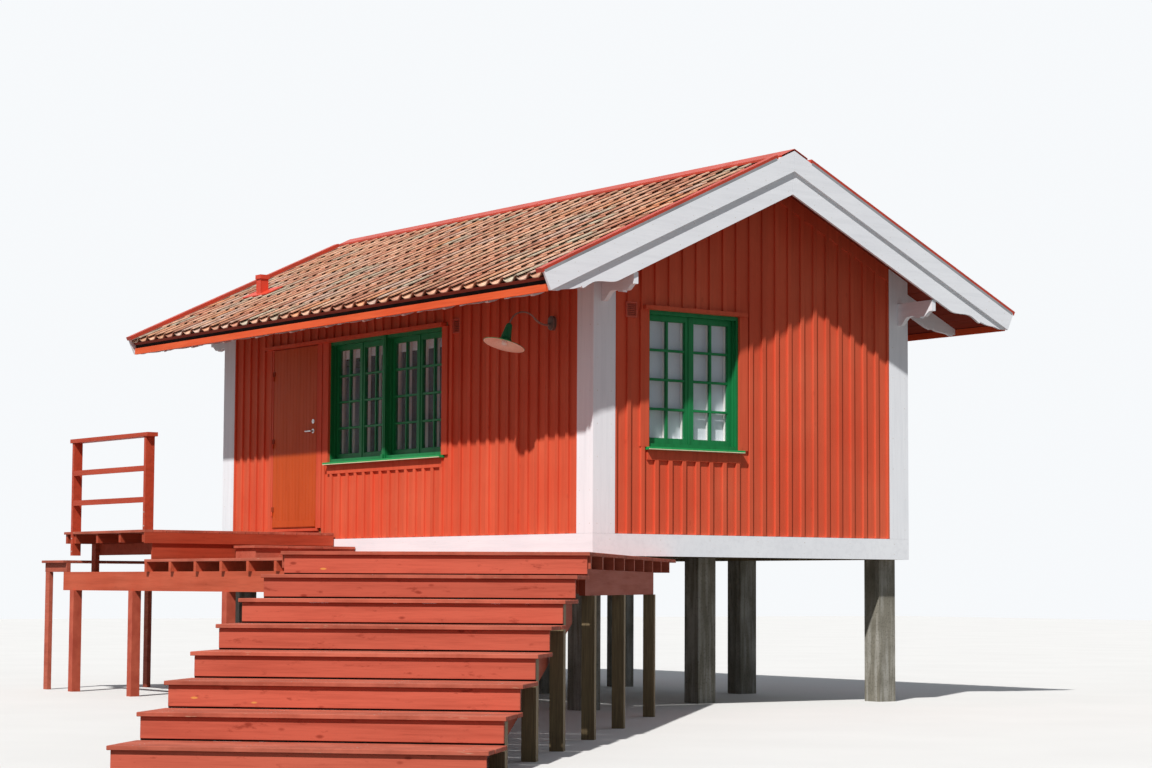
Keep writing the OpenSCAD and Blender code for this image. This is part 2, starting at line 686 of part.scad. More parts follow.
// Fittings. The lamp arm runs straight out, bends up and turns over into the socket
lamp_box_w = 96;
lamp_box_h = 137;
lamp_box_out = 34;
arm_z = -22;
arm_straight = 50;
arm_up = 45;
bend_start = -lamp_box_out - arm_straight;
low_centre = [bend_start, arm_z + arm_low_bend];
high_centre = [low_centre[0] - (arm_low_bend + arm_high_bend) * sin(arm_up),
    low_centre[1] - (arm_low_bend + arm_high_bend) * cos(arm_up)];
arm_end = [high_centre[0] - arm_high_bend * cos(shade_tilt),
    high_centre[1] + arm_high_bend * sin(shade_tilt)];
module arm_bend(centre, radius, from, turn, r) translate([0, centre[0], centre[1]]) rotate([90, 0, 90])
    rotate([0, 0, from]) rotate_extrude(angle = turn, $fn = 96)
        translate([radius, 0]) circle(r = r, $fn = 24);
module lamp_arm() color(grey) house() translate([-lamp_in, 0, lamp_z]) {
    end_z = (lamp_box_h - lamp_box_w) / 2;
    block([-lamp_box_w / 2, -lamp_box_out, -end_z], [lamp_box_w / 2, trim_t - seat, end_z]);
    for (z = [-end_z, end_z]) translate([0, trim_t - seat, z]) rotate([90, 0, 0])
        cylinder(r = lamp_box_w / 2, h = lamp_box_out + trim_t - seat, $fn = 48);
    translate([0, -lamp_box_out + slot, arm_z]) rotate([90, 0, 0])
        cylinder(r = arm_r + 4, h = arm_straight + 8, $fn = 32);
    arm_bend(low_centre, arm_low_bend, -90 - arm_up, arm_up, arm_r + 2);
    arm_bend(high_centre, arm_high_bend, 86 - arm_up, 94 + arm_up - shade_tilt, arm_r);
}
socket_h = 145;
module lamp_shade() color(green) house()
    translate([-lamp_in, arm_end[0], lamp_z + arm_end[1]]) rotate([-shade_tilt, 0, 0])
        rotate_extrude($fn = 96) polygon([[0, -seat], [20, -seat], [28, -14], [50, -socket_h],
            [64, -socket_h - 23], [0.55 * shade_r, -socket_h - 45], [shade_r, -socket_h - 69],
            [shade_r, -socket_h - 74], [0.54 * shade_r, -socket_h - 50], [60, -socket_h - 29],
            [44, -socket_h - 7], [0, -socket_h - 7]]);

module wall_vents() color(red) house() {
    mirror_y() block([-long_vent_in - vent_w / 2, 0, vent_z - vent_h / 2],
        [-long_vent_in + vent_w / 2, trim_t - seat, vent_z + vent_h / 2]);
    mirror_x() block([-trim_t + seat, gable_vent_in - vent_w / 2, vent_z - vent_h / 2],
        [0, gable_vent_in + vent_w / 2, vent_z + vent_h / 2]);
}

// A square sheet duct with a hood and a flat sheet under it on the tiles
vent_sheet_l = 560;
vent_sheet_w = 240;
hood_h = 45;
hood_past = 12;
module roof_vent() color(red) house()
    translate([-roof_vent_in, roof_vent_y, roof_z(roof_vent_y, -seat)]) {
    half = roof_vent_w / 2;
    rotate([roof_pitch, 0, 0])
        block([-vent_sheet_l / 2, -vent_sheet_w / 2, 0], [vent_sheet_l / 2, vent_sheet_w / 2, 12]);
    difference() {
        block([-half, -half, -half], [half, half, roof_vent_h]);
        rotate([roof_pitch, 0, 0]) block([-vent_sheet_l / 2, -vent_sheet_w, -vent_sheet_w],
            [vent_sheet_l / 2, vent_sheet_w, slot]);
    }
    block([-half - hood_past, -half - hood_past, roof_vent_h - hood_h],
        [half + hood_past, half + hood_past, roof_vent_h + slot]);
}

// Walkway
module walkway_deck() color(red) house() translate([0, 0, deck_z - board_t])
    linear_extrude(board_t) polygon(walk_plan);

module walkway_joists() color(red) intersection() {
    house() translate([0, 0, deck_beam_z + seat])
        linear_extrude(deck_joist_h - 2 * seat) polygon(walk_plan);
    walkway() for (t = [t_joist : deck_joist_gap : t_wall])
        block([-walk_half + seat, t, deck_beam_z], [walk_half - seat, t + deck_beam_t, deck_z]);
}

beam_in = 40;
module walkway_beams() color(red) walkway() {
    lengths = [t_side - 100, t_side, t_gable - 1400];
    for (i = [0 : 2]) {
        x = -walk_half + beam_in + i * (walk_w - 2 * beam_in - deck_beam_t) / 2;
        block([x, t_joist, deck_beam_z - deck_beam_h], [x + deck_beam_t, lengths[i], deck_beam_z]);
    }
}

// Stair: treads, risers and sawn stringers
function tread_z(n) = deck_z - n * rise - board_t;
function riser_y(n) = -n * going + nosing;
module stair_treads() color(red) walkway() for (n = [1 : tread_count])
    block([-walk_half, -n * going, tread_z(n)],
        [walk_half, riser_y(n - 1) - seat, tread_z(n) + board_t]);

riser_in = 22;
module stair_risers() color(red) walkway() for (n = [0 : tread_count])
    block([-walk_half + riser_in, riser_y(n), n == tread_count ? ground_z : tread_z(n + 1)],
        [walk_half - riser_in, riser_y(n) + riser_t, tread_z(n) - seat]);

stringer_count = 4;
function back_y(n) = riser_y(n) + riser_t + seat;
module stringer_outline() polygon(concat(
    [for (n = [tread_count : -1 : 1]) each [[back_y(n), tread_z(n) - seat],
        [back_y(n - 1) - (n == 1 ? slot : 0), tread_z(n) - seat]]],
    [[back_y(0) - slot, tread_z(1) - stringer_d - rise], [back_y(tread_count - 1), ground_z],
        [back_y(tread_count), ground_z]]));
module stair_stringers() color(red) walkway() for (i = [0 : stringer_count - 1]) {
    x = -walk_half + post_w + 40 + i * (walk_w - 2 * post_w - 80 - deck_beam_t) / (stringer_count - 1);
    along_x(x, x + deck_beam_t) stringer_outline();
}

module post(x, y, top)
    block([x - post_w / 2, y - post_w / 2, ground_z], [x + post_w / 2, y + post_w / 2, top]);
// Distances of the post rows from the walkway's front edge and of the side posts from the landing
walk_rows = [400, 2000];
last_row_in = 1500;
side_posts = [193 - landing_l, -330, 1700, landing_in - 600];
module deck_posts() color(raw_wood) {
    walkway() {
        edge = walk_half - beam_in - deck_beam_t / 2;
        for (t = walk_rows, x = [-edge, 0, edge]) post(x, t, deck_beam_z - deck_beam_h);
        post(edge, t_gable - last_row_in, deck_beam_z - deck_beam_h);
        for (n = [2 : 2 : tread_count - 1], side = [-1, 1])
            post(side * (walk_half - riser_in - post_w / 2),
                back_y(n) + post_w / 2 + deck_gap, tread_z(n));
    }
    house() for (x = side_posts)
        post(-landing_in + x, -deck_d + beam_in + deck_beam_t / 2, deck_beam_z - deck_beam_h);
}

// Low deck along the entrance wall
landing_far = -landing_in - landing_l;
beam_past = 77;
beam_end = 130;
module side_deck() color(red) house() translate([0, 0, deck_z - board_t])
    linear_extrude(board_t) polygon(side_plan);

// The inner beam is bolted to the faces of the piers
module side_deck_frame() color(red) house() {
    intersection() {
        translate([0, 0, deck_beam_z + seat]) linear_extrude(deck_joist_h - 2 * seat) polygon(side_plan);
        for (x = [-landing_in + 8 : side_joist_gap : 0])
            block([x, -deck_d + seat, deck_beam_z], [x + deck_beam_t, 0, deck_z]);
    }
    block([landing_far - beam_past, -deck_d + beam_in, deck_beam_z - deck_beam_h],
        [-beam_end, -deck_d + beam_in + deck_beam_t, deck_beam_z]);
    block([-house_l + pier_inset - pier_w / 2, pier_face - seat - deck_beam_t,
        deck_beam_z - deck_beam_h],
        [-pier_inset + pier_w / 2, pier_face - seat, deck_beam_z]);
}

// Door landing. The outer railing post goes down through a notch in its boards
left_post_x = landing_far + 171;
module landing_deck() color(red) house() difference() {
    block([landing_far, -deck_d, landing_z - board_t], [-landing_in, -deck_gap, landing_z]);
    block([left_post_x - slot, -deck_d - slot, landing_z - board_t - slot],
        [left_post_x + rail_post_t + slot, -deck_d + rail_post_w + slot, landing_z + slot]);
}

riser_low_in = 100;
cross_beams = [-deck_d + 350, -400];
module landing_frame() color(red) house() {
    low = landing_z - board_t - deck_joist_h;
    first_x = left_post_x + rail_post_t + seat;
    joists = concat([landing_far + 8],
        [for (x = [first_x : side_joist_gap : -landing_in - 2 * deck_beam_t]) x]);
    for (x = joists) block([x, -deck_d + 20, low], [x + deck_beam_t, -seat, landing_z - board_t - seat]);
    for (y = cross_beams)
        block([landing_far + 8, y, low - 122], [-landing_in - 50, y + deck_beam_t, low - seat]);
    for (y = cross_beams, x = [landing_far + 60, -landing_in - 160])
        block([x, y - deck_beam_t, deck_beam_z + seat], [x + post_w, y - seat, low - seat]);
    block([-landing_in - riser_t, -deck_d + 4, landing_z - board_t - 110],
        [-landing_in, -deck_gap, landing_z - board_t - seat]);
    block([-landing_in - 2 * riser_t, -deck_d + riser_low_in, deck_z + seat],
        [-landing_in - riser_t - seat, -deck_gap, landing_z - board_t - 90]);
}

module landing_railing() color(red) house() {
    right_post_x = -landing_in - slot - rail_post_t;
    cap_z = landing_z + rail_h;
    block([left_post_x, -deck_d, deck_z + rail_post_t],
        [left_post_x + rail_post_t, -deck_d + rail_post_w, cap_z - seat]);
    block([right_post_x, -deck_d, landing_z + seat],
        [right_post_x + rail_post_t, -deck_d + rail_post_w, cap_z - seat]);
    block([left_post_x - 36, -deck_d + (rail_post_w - rail_cap_w) / 2, cap_z],
        [right_post_x + 2 * rail_post_t, -deck_d + (rail_post_w + rail_cap_w) / 2, cap_z + rail_cap_t]);
    for (up = [low_rail_up, mid_rail_up])
        block([left_post_x + rail_post_t + seat, -deck_d, landing_z + up],
            [right_post_x - seat, -deck_d + rail_board_t, landing_z + up + rail_board_h]);
}

module step_box() color(red) house() {
    top = deck_z + landing_up / 2;
    block([-landing_in + seat, -box_l, top - board_t], [-landing_in + box_d, -deck_gap, top]);
    block([-landing_in + box_d - nosing - riser_t, -box_l + nosing, deck_z + seat],
        [-landing_in + box_d - nosing, -deck_gap, top - board_t - seat]);
    block([-landing_in + seat, -box_l + nosing, deck_z + seat],
        [-landing_in + box_d - nosing - riser_t - slot, -box_l + nosing + riser_t,
            top - board_t - seat]);
    block([-landing_in + seat, -deck_gap - 200, deck_z + seat],
        [-landing_in + box_d - nosing - riser_t - slot, -deck_gap - 200 + deck_beam_t,
            top - board_t - seat]);
}

module side_step() color(red) house() {
    far = landing_far - side_step_l;
    block([far, -deck_d, deck_z - board_t], [landing_far - slot, -deck_d + side_step_d, deck_z]);
    for (y = [-deck_d + beam_in, -deck_d + side_step_d - deck_beam_t - 10])
        block([far + 10, y, deck_beam_z + seat],
            [landing_far - slot, y + deck_beam_t, deck_z - board_t - seat]);
    for (y = [-deck_d + beam_in, -deck_d + side_step_d - deck_beam_t - 10])
        block([far + 20, y, ground_z], [far + 20 + post_w, y + deck_beam_t, deck_beam_z]);
}

house_piers();
floor_bearers();
floor_joists();
floor_boards();
plinth_boards();
front_wall_left();
front_wall_over_door();
front_wall_right();
back_wall();
near_gable_wall();
far_gable_wall();
corner_boards();
roof_boards_front();
roof_boards_back();
tiles_front();
tiles_back();
ridge_cap();
verge_flashings();
near_bargeboards();
far_bargeboards();
eave_fascias();
rafter_tails_front();
rafter_tails_back();
plate_ends();
window_frames();
window_sashes();
window_glass();
window_blinds();
window_sills();
wall_trims();
door_frame();
door_leaf();
door_levers();
lamp_arm();
lamp_shade();
wall_vents();
roof_vent();
walkway_deck();
walkway_joists();
walkway_beams();
stair_treads();
stair_risers();
stair_stringers();
deck_posts();
side_deck();
side_deck_frame();
landing_deck();
landing_frame();
landing_railing();
step_box();
side_step();
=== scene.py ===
# A small timber boathouse on concrete piers, with a raised walkway, a wide outside stair
# and a door landing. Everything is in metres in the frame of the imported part: +Z is up, +X
# runs along the entrance wall, and the origin is the foot of the near corner pier.
import bpy
import math
import random
from itertools import product
from mathutils import Matrix, Vector


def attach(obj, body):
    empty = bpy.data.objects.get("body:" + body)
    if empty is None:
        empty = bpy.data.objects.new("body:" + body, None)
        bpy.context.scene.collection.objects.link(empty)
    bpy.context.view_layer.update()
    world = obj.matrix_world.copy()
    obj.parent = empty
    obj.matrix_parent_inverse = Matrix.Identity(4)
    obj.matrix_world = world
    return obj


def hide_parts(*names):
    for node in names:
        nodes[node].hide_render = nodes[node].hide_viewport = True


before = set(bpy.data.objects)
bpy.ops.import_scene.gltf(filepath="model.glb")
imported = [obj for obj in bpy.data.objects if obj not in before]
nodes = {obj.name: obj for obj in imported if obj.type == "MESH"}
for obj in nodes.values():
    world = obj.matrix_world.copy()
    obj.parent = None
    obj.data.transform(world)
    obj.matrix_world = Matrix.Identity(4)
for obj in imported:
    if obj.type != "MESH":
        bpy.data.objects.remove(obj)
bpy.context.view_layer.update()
rng = random.Random(11)

# Concrete piers
# Square piers cast on site in forms of sawn boards and left grey. The board marks run round
# them, and the weather has left pores and pale lime streaks.


def linear(hex_colour):
    """Turns an sRGB hex colour to the linear colour that a socket takes."""
    parts = [int(hex_colour[i:i + 2], 16) / 255 for i in (1, 3, 5)]
    return tuple(c / 12.92 if c <= 0.04045 else ((c + 0.055) / 1.055) ** 2.4 for c in parts) + (1.0,)


def add(owner, kind, inputs={}, stops=(), **settings):
    """Adds one shader node, or sets the surface itself where kind is Surface. The owner is a
    material, the world, or any input of the same tree. An input is given a number, a hex colour,
    a node, or a node and its output; stops are a ramp's colours."""
    owner = owner[0] if isinstance(owner, tuple) else owner
    tree = owner.id_data if isinstance(owner, bpy.types.Node) else owner.node_tree
    made = tree.nodes["Principled BSDF"] if kind == "Surface" else tree.nodes.new("ShaderNode" + kind)
    for setting, value in settings.items():
        setattr(made, setting, value)
    for socket, value in inputs.items():
        if isinstance(value, bpy.types.Node):
            value = (value, {"ShaderNodeMix": 2, "ShaderNodeTexCoord": "Object"}.get(value.bl_idname, 0))
        if isinstance(value, tuple) and isinstance(value[0], bpy.types.Node):
            tree.links.new(value[0].outputs[value[1]], made.inputs[socket])
        else:
            made.inputs[socket].default_value = linear(value) if isinstance(value, str) else value
    for i, (place, colour) in enumerate(stops):
        stop = made.color_ramp.elements[i] if i < 2 else made.color_ramp.elements.new(place)
        stop.position = place
        stop.color = linear(colour) if isinstance(colour, str) else (colour, colour, colour, 1)
    return made


def stretched(where, size, turn=0):
    """Coordinates for marks of the given size in metres along x, y and z."""
    inputs = {"Vector": where, "Scale": size, "Rotation": (0, 0, turn)}
    return add(where, "Mapping", inputs, vector_type="TEXTURE")


def noise(where, size, detail, roughness=0.5):
    inputs = {"Vector": where, "Scale": 1 / size, "Detail": detail, "Roughness": roughness}
    return add(where, "TexNoise", inputs)


def ramp(by, *stops):
    return add(by, "ValToRGB", {"Fac": by}, stops)


def mix(share, under, over, blend="MIX"):
    owner = over if isinstance(under, str) else under
    return add(owner, "Mix", {0: share, 6: under, 7: over}, data_type="RGBA", blend_type=blend)


def bump(height, distance, strength, under=None):
    more = {"Normal": under} if under else {}
    return add(height, "Bump", {"Height": height, "Distance": distance, "Strength": strength, **more})


def material(name):
    """A new material and its object coordinates, in metres."""
    mat = bpy.data.materials.new(name)
    mat.use_nodes = True
    return mat, add(mat, "TexCoord")


def dress(node_names, mat):
    """Gives the CAD's own solids a material."""
    for name in node_names:
        nodes[name].data.materials.clear()
        nodes[name].data.materials.append(mat)


# Concrete cast in board forms: matt grey with 45 mm board marks, pores and lime streaks
concrete, where = material("cast_concrete_weathered")
streak_at = stretched(where, (0.05, 0.05, 0.6))
form_at = stretched(where, (2.0, 2.0, 0.045))
pores = noise(where, 0.016, 4, 0.7)
clouds = noise(where, 0.28, 4)
streaks = noise(streak_at, 1, 3)
form_marks = noise(form_at, 1, 2)
greys = ramp(clouds, (0.3, "#8d8a80"), (0.7, "#b4b1a8"))
lime = ramp(streaks, (0.42, "#b9b5a8"), (0.6, "#ffffff"))
holes = ramp(pores, (0.36, "#77736a"), (0.46, "#ffffff"))
limed = mix(0.8, greys, lime, "MULTIPLY")
pitted = mix(0.5, limed, holes, "MULTIPLY")
marked = bump(form_marks, 0.003, 0.5)
rough = bump(pores, 0.003, 0.6, marked)
add(concrete, "Surface", {"Base Color": pitted, "Roughness": 0.9, "Normal": rough})
dress(["house_piers"], concrete)

# Bearers, joists, floor boards and the inside of the walls
# Planed softwood bearers lie on the piers and carry joists and a bare board floor. The
# timber is pressure treated below the floor and left bare inside.


def along(axis, across, length):
    size = [across] * 3
    size[axis] = length
    return tuple(size)


# Sawn softwood without paint: matt, with grain 8 mm wide, clouds 0.1 m wide and scattered knots
def bare_wood(name, light, dark, axis, turn=0.0):
    mat, where = material(name)
    grain_at, cloud_at, knot_at = [
        stretched(where, size, turn)
        for size in (along(axis, 0.008, 0.25), along(axis, 0.1, 0.8), along(axis, 0.16, 0.35))]
    grain = noise(grain_at, 1, 4, 0.65)
    clouds = noise(cloud_at, 1, 3)
    knots = add(mat, "TexVoronoi", {"Vector": knot_at, "Scale": 1})
    rings = ramp(grain, (0.3, light), (0.72, dark))
    weathered = ramp(clouds, (0.3, "#b8b0a4"), (0.7, "#ffffff"))
    eyes = ramp(knots, (0.06, 0.85), (0.14, 0.0))
    wood = mix(0.7, rings, weathered, "MULTIPLY")
    knotty = mix(eyes, wood, dark)
    ridges = bump(grain, 0.0012, 0.6)
    add(mat, "Surface", {"Base Color": knotty, "Roughness": 0.75, "Normal": ridges})
    return mat


X, Y, Z = 0, 1, 2
dress(["floor_bearers"], bare_wood("treated_pine_bearers", "#9a855f", "#6b5a3c", X))
dress(["floor_joists"], bare_wood("treated_pine_joists", "#9a855f", "#6b5a3c", Y))
dress(["floor_boards"], bare_wood("bare_pine_floor", "#c4a374", "#96744a", X))
dress(["front_wall_left", "front_wall_over_door", "front_wall_right", "back_wall", "near_gable_wall",
       "far_gable_wall"], bare_wood("bare_pine_wall_boards", "#b08a5c", "#86643f", Z))

# Boards and battens of the outside walls
# Wide upright boards nailed 2 mm apart, and a planed batten over each joint, brushed with red
# linseed paint. The paint is matt, a little faded and streaked down the grain by rain.

house_l, house_w = 7.22, 4.0
trim_t, plinth_h = 0.028, 0.207
origin = Vector((0.3, -0.127, 1.44))
pitch = math.radians(25.3)
apex = 3.925
soffit = 0.1408


def roof_line(y):
    """Height of the roof's top line above the plinth's bottom at y."""
    return apex - abs(house_w / 2 - y) * math.tan(pitch)


def bands(rings, sides):
    """Faces between closed rings of points that follow each other."""
    return [tuple(row * sides + k % sides for row, k in ((r, i), (r, i + 1), (r + 1, i + 1), (r + 1, i)))
            for r in range(rings - 1) for i in range(sides)]


def show(name, data):
    """Puts a mesh, light or camera into the scene."""
    obj = bpy.data.objects.new(name, data)
    bpy.context.scene.collection.objects.link(obj)
    return obj


class Timber:
    """Collects like solids of one piece, each with a tone of its own, and makes its mesh."""

    def __init__(self):
        self.points, self.faces, self.tones, self.smooth = [], [], [], []

    def add(self, points, faces, tone=None, smooth=False):
        start = len(self.points)
        tone = rng.random() if tone is None else tone
        self.points += [tuple(p) for p in points]
        self.tones += [tone] * len(points)
        self.faces += [tuple(start + i for i in f) for f in faces]
        self.smooth += [smooth] * len(faces)

    def board(self, low, high, edge=0.002, place=None, tone=None):
        """A planed board from corner to corner, with its arrises eased."""
        low, high = Vector(low), Vector(high)
        mid, half = (low + high) / 2, (high - low) / 2
        edge = min(edge, 0.3 * min(half))
        points, index = [], {}
        for signs in product((-1, 1), repeat=3):
            for axis in range(3):
                p = [s * (h - edge * (a != axis)) for a, (s, h) in enumerate(zip(signs, half))]
                index[(*signs, axis)] = len(points)
                points.append(mid + Vector(p))
        faces = []
        for axis in range(3):

            def corner(s, sb, sc, face):
                key = [0, 0, 0]
                key[axis], key[(axis + 1) % 3], key[(axis + 2) % 3] = s, sb, sc
                return index[(*key, face % 3)]

            for s in (-1, 1):
                ring = [corner(s, *at, axis) for at in ((-1, -1), (1, -1), (1, 1), (-1, 1))]
                faces.append(ring if s > 0 else ring[::-1])
            for sb, sc in product((-1, 1), repeat=2):
                ring = [corner(s, sb, sc, axis + turn) for s, turn in ((-1, 1), (1, 1), (1, 2), (-1, 2))]
                faces.append(ring if sb * sc < 0 else ring[::-1])
        for signs in product((-1, 1), repeat=3):
            ring = [index[(*signs, a)] for a in range(3)]
            faces.append(ring if signs[0] * signs[1] * signs[2] > 0 else ring[::-1])
        if place is not None:
            points = [place @ p for p in points]
        self.add(points, faces, tone)

    def slab(self, plan, low, high, edge=0.0015, place=None, tone=None):
        """A board cut to any outline seen from above, given anticlockwise."""
        plan = [Vector(p) for p in plan]
        count = len(plan)
        inner = []
        for i, p in enumerate(plan):
            a = (p - plan[i - 1]).normalized()
            b = (plan[(i + 1) % count] - p).normalized()
            na, nb = Vector((-a.y, a.x)), Vector((-b.y, b.x))
            spread = max(0.35, 1 + na.dot(nb))
            inner.append(p + (na + nb) * edge / spread)
        rings = [(inner, low), (plan, low + edge), (plan, high - edge), (inner, high)]
        points = [Vector((p.x, p.y, z)) for ring, z in rings for p in ring]
        faces = [list(range(count))[::-1], list(range(3 * count, 4 * count))] + bands(4, count)
        if place is not None:
            points = [place @ p for p in points]
        self.add(points, faces, tone)

    def piece(self, name, mat, slot, body="house", replaces=()):
        """Makes the piece, moved from the house's own corner to the part's origin."""
        mesh = bpy.data.meshes.new(name)
        mesh.from_pydata([Vector(p) + origin for p in self.points], [], self.faces)
        mesh.attributes.new("tone", "FLOAT", "POINT").data.foreach_set("value", self.tones)
        mesh.polygons.foreach_set("use_smooth", self.smooth)
        mesh.materials.append(mat)
        mesh.update()
        obj = show(name, mesh)
        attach(obj, body)
        if replaces:
            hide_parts(*replaces)


def ranged(value, low, high):
    return add(value, "MapRange", {"Value": value, "To Min": low, "To Max": high})


# Linseed oil paint on planed softwood: a dull sheen, grain 7 mm wide, rain streaks 50 mm wide,
# faded clouds, knots coming through, and boards that differ a little where spread is given
def painted_wood(name, colour, faded, deep, axis, turn=0.0, rough=0.62, knots=0.25, spread=0.0,
                 wear=1.0):
    mat, where = material(name)
    grain_at, streak_at, knot_at = [
        stretched(where, size, turn)
        for size in (along(axis, 0.007, 0.22), along(axis, 0.05, 0.9), along(axis, 0.14, 0.3))]
    grain = noise(grain_at, 1, 4, 0.6)
    streaks = noise(streak_at, 1, 4, 0.6)
    clouds = noise(where, 0.8, 3)
    eyes = add(mat, "TexVoronoi", {"Vector": knot_at, "Scale": 1})
    fading = ramp(clouds, (0.35, colour), (0.68, faded))
    streaking = ramp(streaks, (0.45, 0.0), (0.8, 0.5 * wear))
    graining = ramp(grain, (0.5, 0.0), (0.75, 0.3 * wear))
    knotting = ramp(eyes, (0.05, knots), (0.11, 0.0))
    paint = mix(streaking, fading, deep)
    paint = mix(graining, paint, deep)
    if spread:
        tone = add(mat, "Attribute", attribute_name="tone")
        level = ranged((tone, "Fac"), 1 - spread, 1.0)
        paint = mix(1.0, paint, level, "MULTIPLY")
    paint = mix(knotting, paint, deep)
    sheen = ranged(streaks, rough - 0.1, rough + 0.15)
    ridges = bump(grain, 0.0008, 0.5)
    add(mat, "Surface", {"Base Color": paint, "Roughness": sheen, "Specular IOR Level": 0.12,
                         "Normal": ridges})
    return mat


red_cladding = painted_wood("red_linseed_paint_on_cladding", "#d8593c", "#dd6647", "#a43e28", Z,
                            spread=0.14, wear=0.5)


def cut_out(panels, hole):
    """Takes the hole (x0, x1, z0, z1) out of flat panels of the same form."""
    left = []
    for x0, x1, z0, z1 in panels:
        a, b, c, d = max(x0, hole[0]), min(x1, hole[1]), max(z0, hole[2]), min(z1, hole[3])
        if a >= b or c >= d:
            left.append((x0, x1, z0, z1))
            continue
        left += [(x0, x1, z0, c), (x0, x1, d, z1), (x0, a, c, d), (b, x1, c, d)]
    return [p for p in left if p[1] - p[0] > 0.008 and p[3] - p[2] > 0.008]


module, batten_w = 0.169, 0.047
batten_face, board_face = 0.0008, 0.0232


def clad(timber, start, end, top, holes, place):
    """Boards side by side with a batten over each joint, cut round the openings."""
    count = round((end - start) / module)
    step = (end - start) / count
    for i in range(2 * count + 1):
        is_batten = i % 2 == 0
        middle = start + i * step / 2
        half = batten_w / 2 if is_batten else step / 2 - 0.001
        x0, x1 = max(start + 0.0005, middle - half), min(end - 0.0005, middle + half)
        panels = [(x0, x1, plinth_h + 0.002, min(top(x0), top(x1)))]
        for hole in holes:
            panels = cut_out(panels, hole)
        face = batten_face if is_batten else board_face
        tone = rng.random()
        for a, b, c, d in panels:
            timber.board((a, face, c), (b, trim_t + 0.0005, d), 0.0025, place, tone=tone)


corner_w = 0.258
window_w, window_h, window_z = 1.140, 1.306, 1.034
casing_w = 0.088
head_z = window_z + window_h
front_window_x, gable_window_y = -2.585, 0.645
front_vent_x, gable_vent_y = -2.337, 0.45


def window_holes(low, width):
    """Openings for a window's casing, head board, sill and the board under the sill."""
    return [(low - casing_w - 0.0005, low + width + casing_w + 0.0005, window_z + 0.0005, head_z + 0.0008),
            (low - 0.0575, low + width + 0.0575, head_z, head_z + 0.0385),
            (low - 0.0185, low + width + 0.0185, window_z - 0.027, window_z + 0.001),
            (low - 0.0005, low + width + 0.0005, window_z - 0.1235, window_z - 0.026)]


def vent_hole(x):
    return (x - 0.0645, x + 0.0645, 2.252, 2.400)


def turned_to(x, y, degrees):
    """A wall's own frame: x along the wall, y into it."""
    return Matrix.Translation((x, y, 0)) @ Matrix.Rotation(math.radians(degrees), 4, "Z")


def eave_top(x):
    """Upper end of the boards of the long walls, under the roof boards."""
    return roof_line(trim_t) - soffit - 0.002


def gable_top(y):
    return roof_line(y) - soffit - 0.02


door_holes = [(-6.0885, -4.9895, plinth_h, 2.3408), (-6.2025, -2.5485, 2.3402, 2.3785)]
for name, start, end, top, holes, place in (
        ("front_cladding", -house_l + corner_w, -corner_w, eave_top,
         window_holes(front_window_x - 2 * window_w, 2 * window_w) + door_holes + [vent_hole(front_vent_x)],
         Matrix.Identity(4)),
        ("back_cladding", corner_w, house_l - corner_w, eave_top,
         window_holes(-front_window_x, 2 * window_w) + [vent_hole(-front_vent_x)],
         turned_to(0, house_w, 180)),
        ("near_gable_cladding", corner_w, house_w - corner_w, gable_top,
         window_holes(gable_window_y, window_w) + [vent_hole(gable_vent_y)], turned_to(0, 0, 90)),
        ("far_gable_cladding", corner_w, house_w - corner_w, gable_top,
         window_holes(house_w - gable_window_y - window_w, window_w) + [vent_hole(house_w - gable_vent_y)],
         turned_to(-house_l, house_w, -90))):
    cladding = Timber()
    clad(cladding, start, end, top, holes, place)
    cladding.piece(name, red_cladding, "red_cladding")

# White boards of the plinth, corners and gables
# Planed boards nailed on and painted white in linseed oil paint. The lower bargeboards end in
# a carved wave, and the nail heads show under the paint as small round spots.

white_up, white_along, white_across = [
    painted_wood("white_linseed_paint_" + way, "#edeff3", "#f3f5f8", "#d3d5da", axis,
                 rough=0.5, knots=0.08, wear=0.7)
    for way, axis in (("upright", Z), ("along_x", X), ("along_y", Y))]
dress(["corner_boards"], white_up)
dress(["plinth_boards", "plate_ends"], white_along)
dress(["near_bargeboards", "far_bargeboards", "rafter_tails_front", "rafter_tails_back"], white_across)


def dome(timber, centre, out, radius, height, sides=8, tone=None):
    """A round head set on a surface that faces the way out."""
    out = Vector(out).normalized()
    side = out.orthogonal().normalized()
    up = out.cross(side)
    centre = Vector(centre)
    points = []
    for r, h in ((radius, -0.0006), (radius, 0.3 * height), (0.62 * radius, height)):
        for k in range(sides):
            a = 2 * math.pi * k / sides
            points.append(centre + out * h + (side * math.cos(a) + up * math.sin(a)) * r)
    faces = [tuple(range(2 * sides, 3 * sides))] + bands(3, sides)
    timber.add(points, faces, tone)


def mottled(name, size, detail, low, high, roughness, depth=0, strength=0.4, more={}):
    """A material between two colours by one noise, which also gives its relief where it has any."""
    mat, where = material(name)
    marks = noise(where, size, detail)
    relief = {"Normal": bump(marks, depth, strength)} if depth else {}
    colours = ramp(marks, low, high)
    add(mat, "Surface", {"Base Color": colours, "Roughness": roughness, **relief, **more})
    return mat


